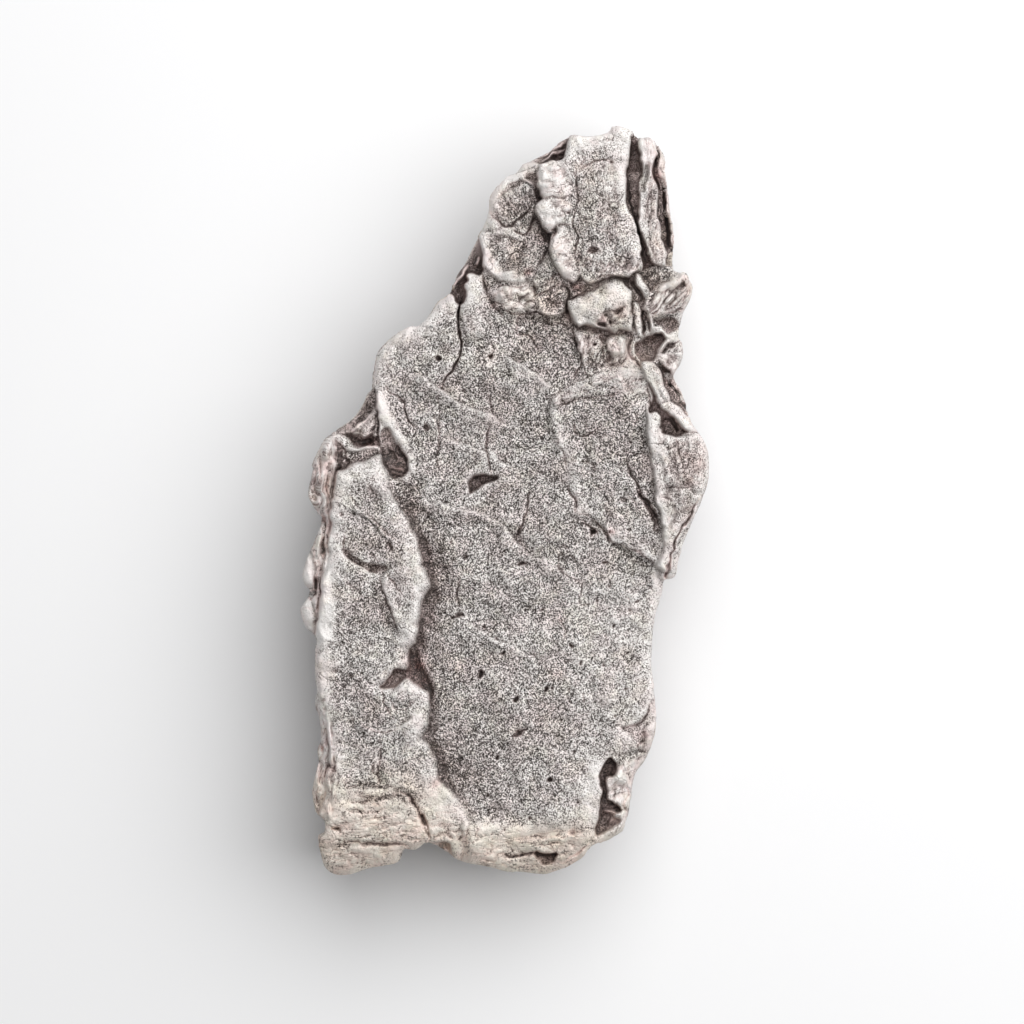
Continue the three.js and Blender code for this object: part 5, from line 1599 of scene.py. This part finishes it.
# ---------------------------------------------------------
# Meteoritic iron: grey and finely pitted, with glints painted into the grain; pale and nearly
# smooth where it is rubbed or carries a painted highlight, under a brown film in the hollows,
# with a little red rust.
# ---------------------------------------------------------
iron = bpy.data.materials.new("meteoritic_iron")
iron.use_nodes = True
nodes, links = iron.node_tree.nodes, iron.node_tree.links
shader = nodes["Principled BSDF"]
place = nodes.new("ShaderNodeTexCoord").outputs["Object"]


def feed(node, *values):
    """Gives a node's first inputs their values, numbers or sockets; returns its output."""
    for socket, value in zip(node.inputs, values):
        if isinstance(value, bpy.types.NodeSocket):
            links.new(value, socket)
        else:
            socket.default_value = value
    return node.outputs[0]


def grain(size, detail=2.0, rough=0.5, vector=place, output="Fac"):
    """Noise over the object, 0 to 1, with hills about so many millimetres apart."""
    node = nodes.new("ShaderNodeTexNoise")
    node.inputs["Scale"].default_value = 1000 / size
    node.inputs["Detail"].default_value = detail
    node.inputs["Roughness"].default_value = rough
    links.new(vector, node.inputs["Vector"])
    return node.outputs[output]


def mask(name):
    """One of the masks that were worked out with the surface."""
    node = nodes.new("ShaderNodeAttribute")
    node.attribute_name = name
    return node.outputs["Fac"]


def maths(operation, *values):
    """One step of arithmetic on sockets and numbers, kept between 0 and 1."""
    node = nodes.new("ShaderNodeMath")
    node.operation = operation
    node.use_clamp = True
    return feed(node, *values)


def ranged(value, low, high, start=0.0, end=1.0):
    """A value spread from one range to another and kept inside it."""
    return feed(nodes.new("ShaderNodeMapRange"), value, low, high, start, end)


polish, stain, rust, warm = mask("polish"), mask("stain"), mask("rust"), mask("warm")


def total(start, *terms):
    """A number plus a row of sockets, each times a number or another socket."""
    result = start
    for value, factor in terms:
        node = nodes.new("ShaderNodeMath")
        node.operation = "MULTIPLY_ADD"
        result = feed(node, value, factor, result)
    return result


def dyed(share, colour, dye):
    """A colour multiplied by a dye, by a share from 0 to 1."""
    node = nodes.new("ShaderNodeMix")
    node.data_type = "RGBA"
    node.blend_type = "MULTIPLY"
    links.new(share, node.inputs[0])
    links.new(colour, node.inputs[6])
    node.inputs[7].default_value = (*dye, 1)
    return node.outputs[2]


def crystals(size, feature="F1", vector=place):
    """A Voronoi pattern of cells about so many millimetres across."""
    node = nodes.new("ShaderNodeTexVoronoi")
    node.feature = feature
    node.inputs["Scale"].default_value = 1000 / size
    links.new(vector, node.inputs["Vector"])
    return node.outputs


def shaken(size, reach):
    """Object coordinates that wander by up to so many millimetres."""
    noise = grain(size, 3.0, output="Color")
    centred = nodes.new("ShaderNodeVectorMath")
    centred.operation = "SUBTRACT"
    moved = nodes.new("ShaderNodeVectorMath")
    moved.operation = "MULTIPLY_ADD"
    return feed(moved, feed(centred, noise, (0.5,) * 3), (0.002 * reach,) * 3, place)


grains = crystals(0.1)
stipple = ranged(grains["Distance"], 0.2, 0.7, -1, 1)
glints = ranged(grains["Color"], 0.2, 0.8, -1, 1)
specks = ranged(grain(0.13, 1.0, 0.6), 0.35, 0.65, -1, 1)
mottle = ranged(grain(0.8, 3.0, 0.6), 0.3, 0.7, -1, 1)
patches = ranged(grain(4.0, 3.0, 0.6), 0.3, 0.7, -1, 1)
craze = ranged(crystals(2.4, "DISTANCE_TO_EDGE", shaken(1.2, 0.9))["Distance"], 0.0, 0.03, 1, 0)
craze = maths("MULTIPLY", craze, ranged(grain(3.1, 2.0), 0.47, 0.56))
dots = ranged(crystals(0.9)["Distance"], 0.0, 0.16, 1, 0)
dots = maths("MULTIPLY", dots, ranged(grain(1.4, 1.0), 0.42, 0.5))
flecks = maths("MULTIPLY", ranged(grain(0.19, 2.0, 0.7), 0.42, 0.48, 1, 0),
               maths("MULTIPLY", maths("MAXIMUM", warm, maths("MULTIPLY", mask("streaks"), 0.8)),
                     ranged(grain(1.2, 3.0, 0.6), 0.4, 0.62, 0.12, 1)))
# the streaks lie along the direction that the surface carries; on the rim, where it carries
# none, they lie level
along_x, along_y = mask("lie_x"), mask("lie_y")
apart = nodes.new("ShaderNodeSeparateXYZ")
links.new(place, apart.inputs[0])
at_x, at_y, at_z = apart.outputs
across = total(0.0, (at_z, 1.0), (at_y, along_x), (total(0.0, (at_x, -1.0)), along_y))
along = total(0.0, (at_x, along_x), (at_y, along_y))
drawn_out = feed(nodes.new("ShaderNodeCombineXYZ"), total(0.0, (across, 5.5), (at_x, 0.3)),
                 total(0.0, (along, 0.9), (at_y, 0.3)), at_z)
lines = grain(1.0, 2.0, 0.6, drawn_out)
streaks = mask("streaks")
grooves = maths("MULTIPLY", streaks, ranged(lines, 0.38, 0.47, 1, 0))
# where the metal is rubbed or carries a painted highlight, its grain is fainter and it is paler
worn = maths("MULTIPLY", polish, ranged(grain(0.5, 3.0), 0.3, 0.55, 0.6, 1.0))
grainy = maths("MULTIPLY", ranged(grain(1.3, 3.0), 0.35, 0.65, 0.8, 1.1),
               total(1.0, (worn, -0.66), (stain, -0.6), (streaks, -0.35)))
tone = total(0.462, (total(0.0, (stipple, 0.62), (glints, 0.46)), grainy), (mottle, 0.05),
             (patches, 0.05), (craze, -0.36), (dots, -0.3), (mask("tone"), 1.0), (worn, 0.12),
             (stain, -0.04), (rust, -0.1), (warm, 0.1), (streaks, 0.15))
tone = maths("MINIMUM", maths("MULTIPLY", tone, 0.87), 0.95)
tone = total(0.0, (tone, 1.0), (flecks, -0.5), (grooves, -0.36))
ramp = nodes.new("ShaderNodeValToRGB")
links.new(tone, ramp.inputs["Fac"])
LIGHT = 1.2                     # how much more than white paper the light makes of white
stops = ((0.0, (40, 33, 30)), (0.174, (63, 54, 50)), (0.305, (94, 86, 82)),
         (0.522, (157, 150, 147)), (0.696, (208, 202, 198)), (0.826, (238, 232, 228)),
         (0.95, (249, 245, 242)))
for position, _ in stops[1:-1]:
    ramp.color_ramp.elements.new(position)
for stop, (position, tint_255) in zip(ramp.color_ramp.elements, stops):
    stop.position = position
    stop.color = (*((np.array(tint_255) / 255) ** 2.2 / LIGHT), 1)
colour = dyed(ranged(grain(2.0, 4.0, 0.6), 0.45, 0.58), ramp.outputs["Color"], (1.0, 0.957, 0.962))
colour = dyed(ranged(grain(1.5, 3.0, 0.6), 0.5, 0.62, 0.0, 0.7), colour, (1.0, 1.0, 0.95))
colour = dyed(maths("MAXIMUM", stain, grooves), colour, (1.0, 0.87, 0.86))
colour = dyed(warm, colour, (1.0, 0.965, 0.885))
colour = dyed(rust, colour, (1.0, 0.68, 0.66))
links.new(colour, shader.inputs["Base Color"])
metal = maths("MULTIPLY", maths("SUBTRACT", 1.0, maths("MAXIMUM", stain, rust)), 0.3)
links.new(metal, shader.inputs["Metallic"])
links.new(ranged(specks, -1, 1, 0.7, 0.5), shader.inputs["Roughness"])

relief = nodes.new("ShaderNodeBump")
relief.inputs["Distance"].default_value = 0.00001
relief.inputs["Strength"].default_value = 0.7
links.new(stipple, relief.inputs["Height"])
coarse = nodes.new("ShaderNodeBump")
coarse.inputs["Distance"].default_value = 0.0001
coarse.inputs["Strength"].default_value = 0.7
links.new(total(0.0, (mottle, 0.5), (craze, -0.8), (dots, -0.6), (grooves, -0.8)),
          coarse.inputs["Height"])
links.new(relief.outputs["Normal"], coarse.inputs["Normal"])
links.new(coarse.outputs["Normal"], shader.inputs["Normal"])

thinned.materials.clear()
thinned.materials.append(iron)
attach(meteorite, "root")
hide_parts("meteorite")

# ---------------------------------------------------------
# The white table under it, lit by a broad lamp from the upper right and a white room, and
# the camera far above it with a long lens.
# ---------------------------------------------------------
bpy.ops.mesh.primitive_plane_add(size=2.0, location=(0, 0, 0))
table = bpy.context.object
table.name = "table"
paper = bpy.data.materials.new("white_table")
paper.use_nodes = True
paper.node_tree.nodes["Principled BSDF"].inputs["Base Color"].default_value = (0.9, 0.9, 0.905, 1)
paper.node_tree.nodes["Principled BSDF"].inputs["Roughness"].default_value = 0.9
table.data.materials.append(paper)
table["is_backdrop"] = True

world = bpy.data.worlds.new("white_room")
world.use_nodes = True
world.node_tree.nodes["Background"].inputs["Color"].default_value = (1, 1, 1, 1)
world.node_tree.nodes["Background"].inputs["Strength"].default_value = 0.16
bpy.context.scene.world = world
bpy.context.scene.view_settings.view_transform = "Standard"

lamp_data = bpy.data.lights.new("broad_lamp", "AREA")
lamp_data.shape = "DISK"
lamp_data.size = 0.52
lamp_data.energy = 1.72
lamp = bpy.data.objects.new("broad_lamp", lamp_data)
lamp.location = (0.115, 0.112, 0.25)
lamp.rotation_euler = lamp.location.to_track_quat("Z", "Y").to_euler()
bpy.context.scene.collection.objects.link(lamp)

LENS, SENSOR = 280, 36          # in mm
SEEN_WIDTH = 0.08247            # metres that the camera takes in from side to side
SEEN_LEVEL = 0.008              # how high over the table it takes in that width
camera_data = bpy.data.cameras.new("camera")
camera_data.lens = LENS
camera_data.clip_end = 10
camera = bpy.data.objects.new("camera", camera_data)
camera.location = (0.0006, -0.00085, SEEN_LEVEL + SEEN_WIDTH * LENS / SENSOR)
bpy.context.scene.collection.objects.link(camera)
bpy.context.scene.camera = camera

size = {
    "solid": [list(cad_low), list(cad_high)],
    "skin": [list(corner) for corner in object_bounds()],
}
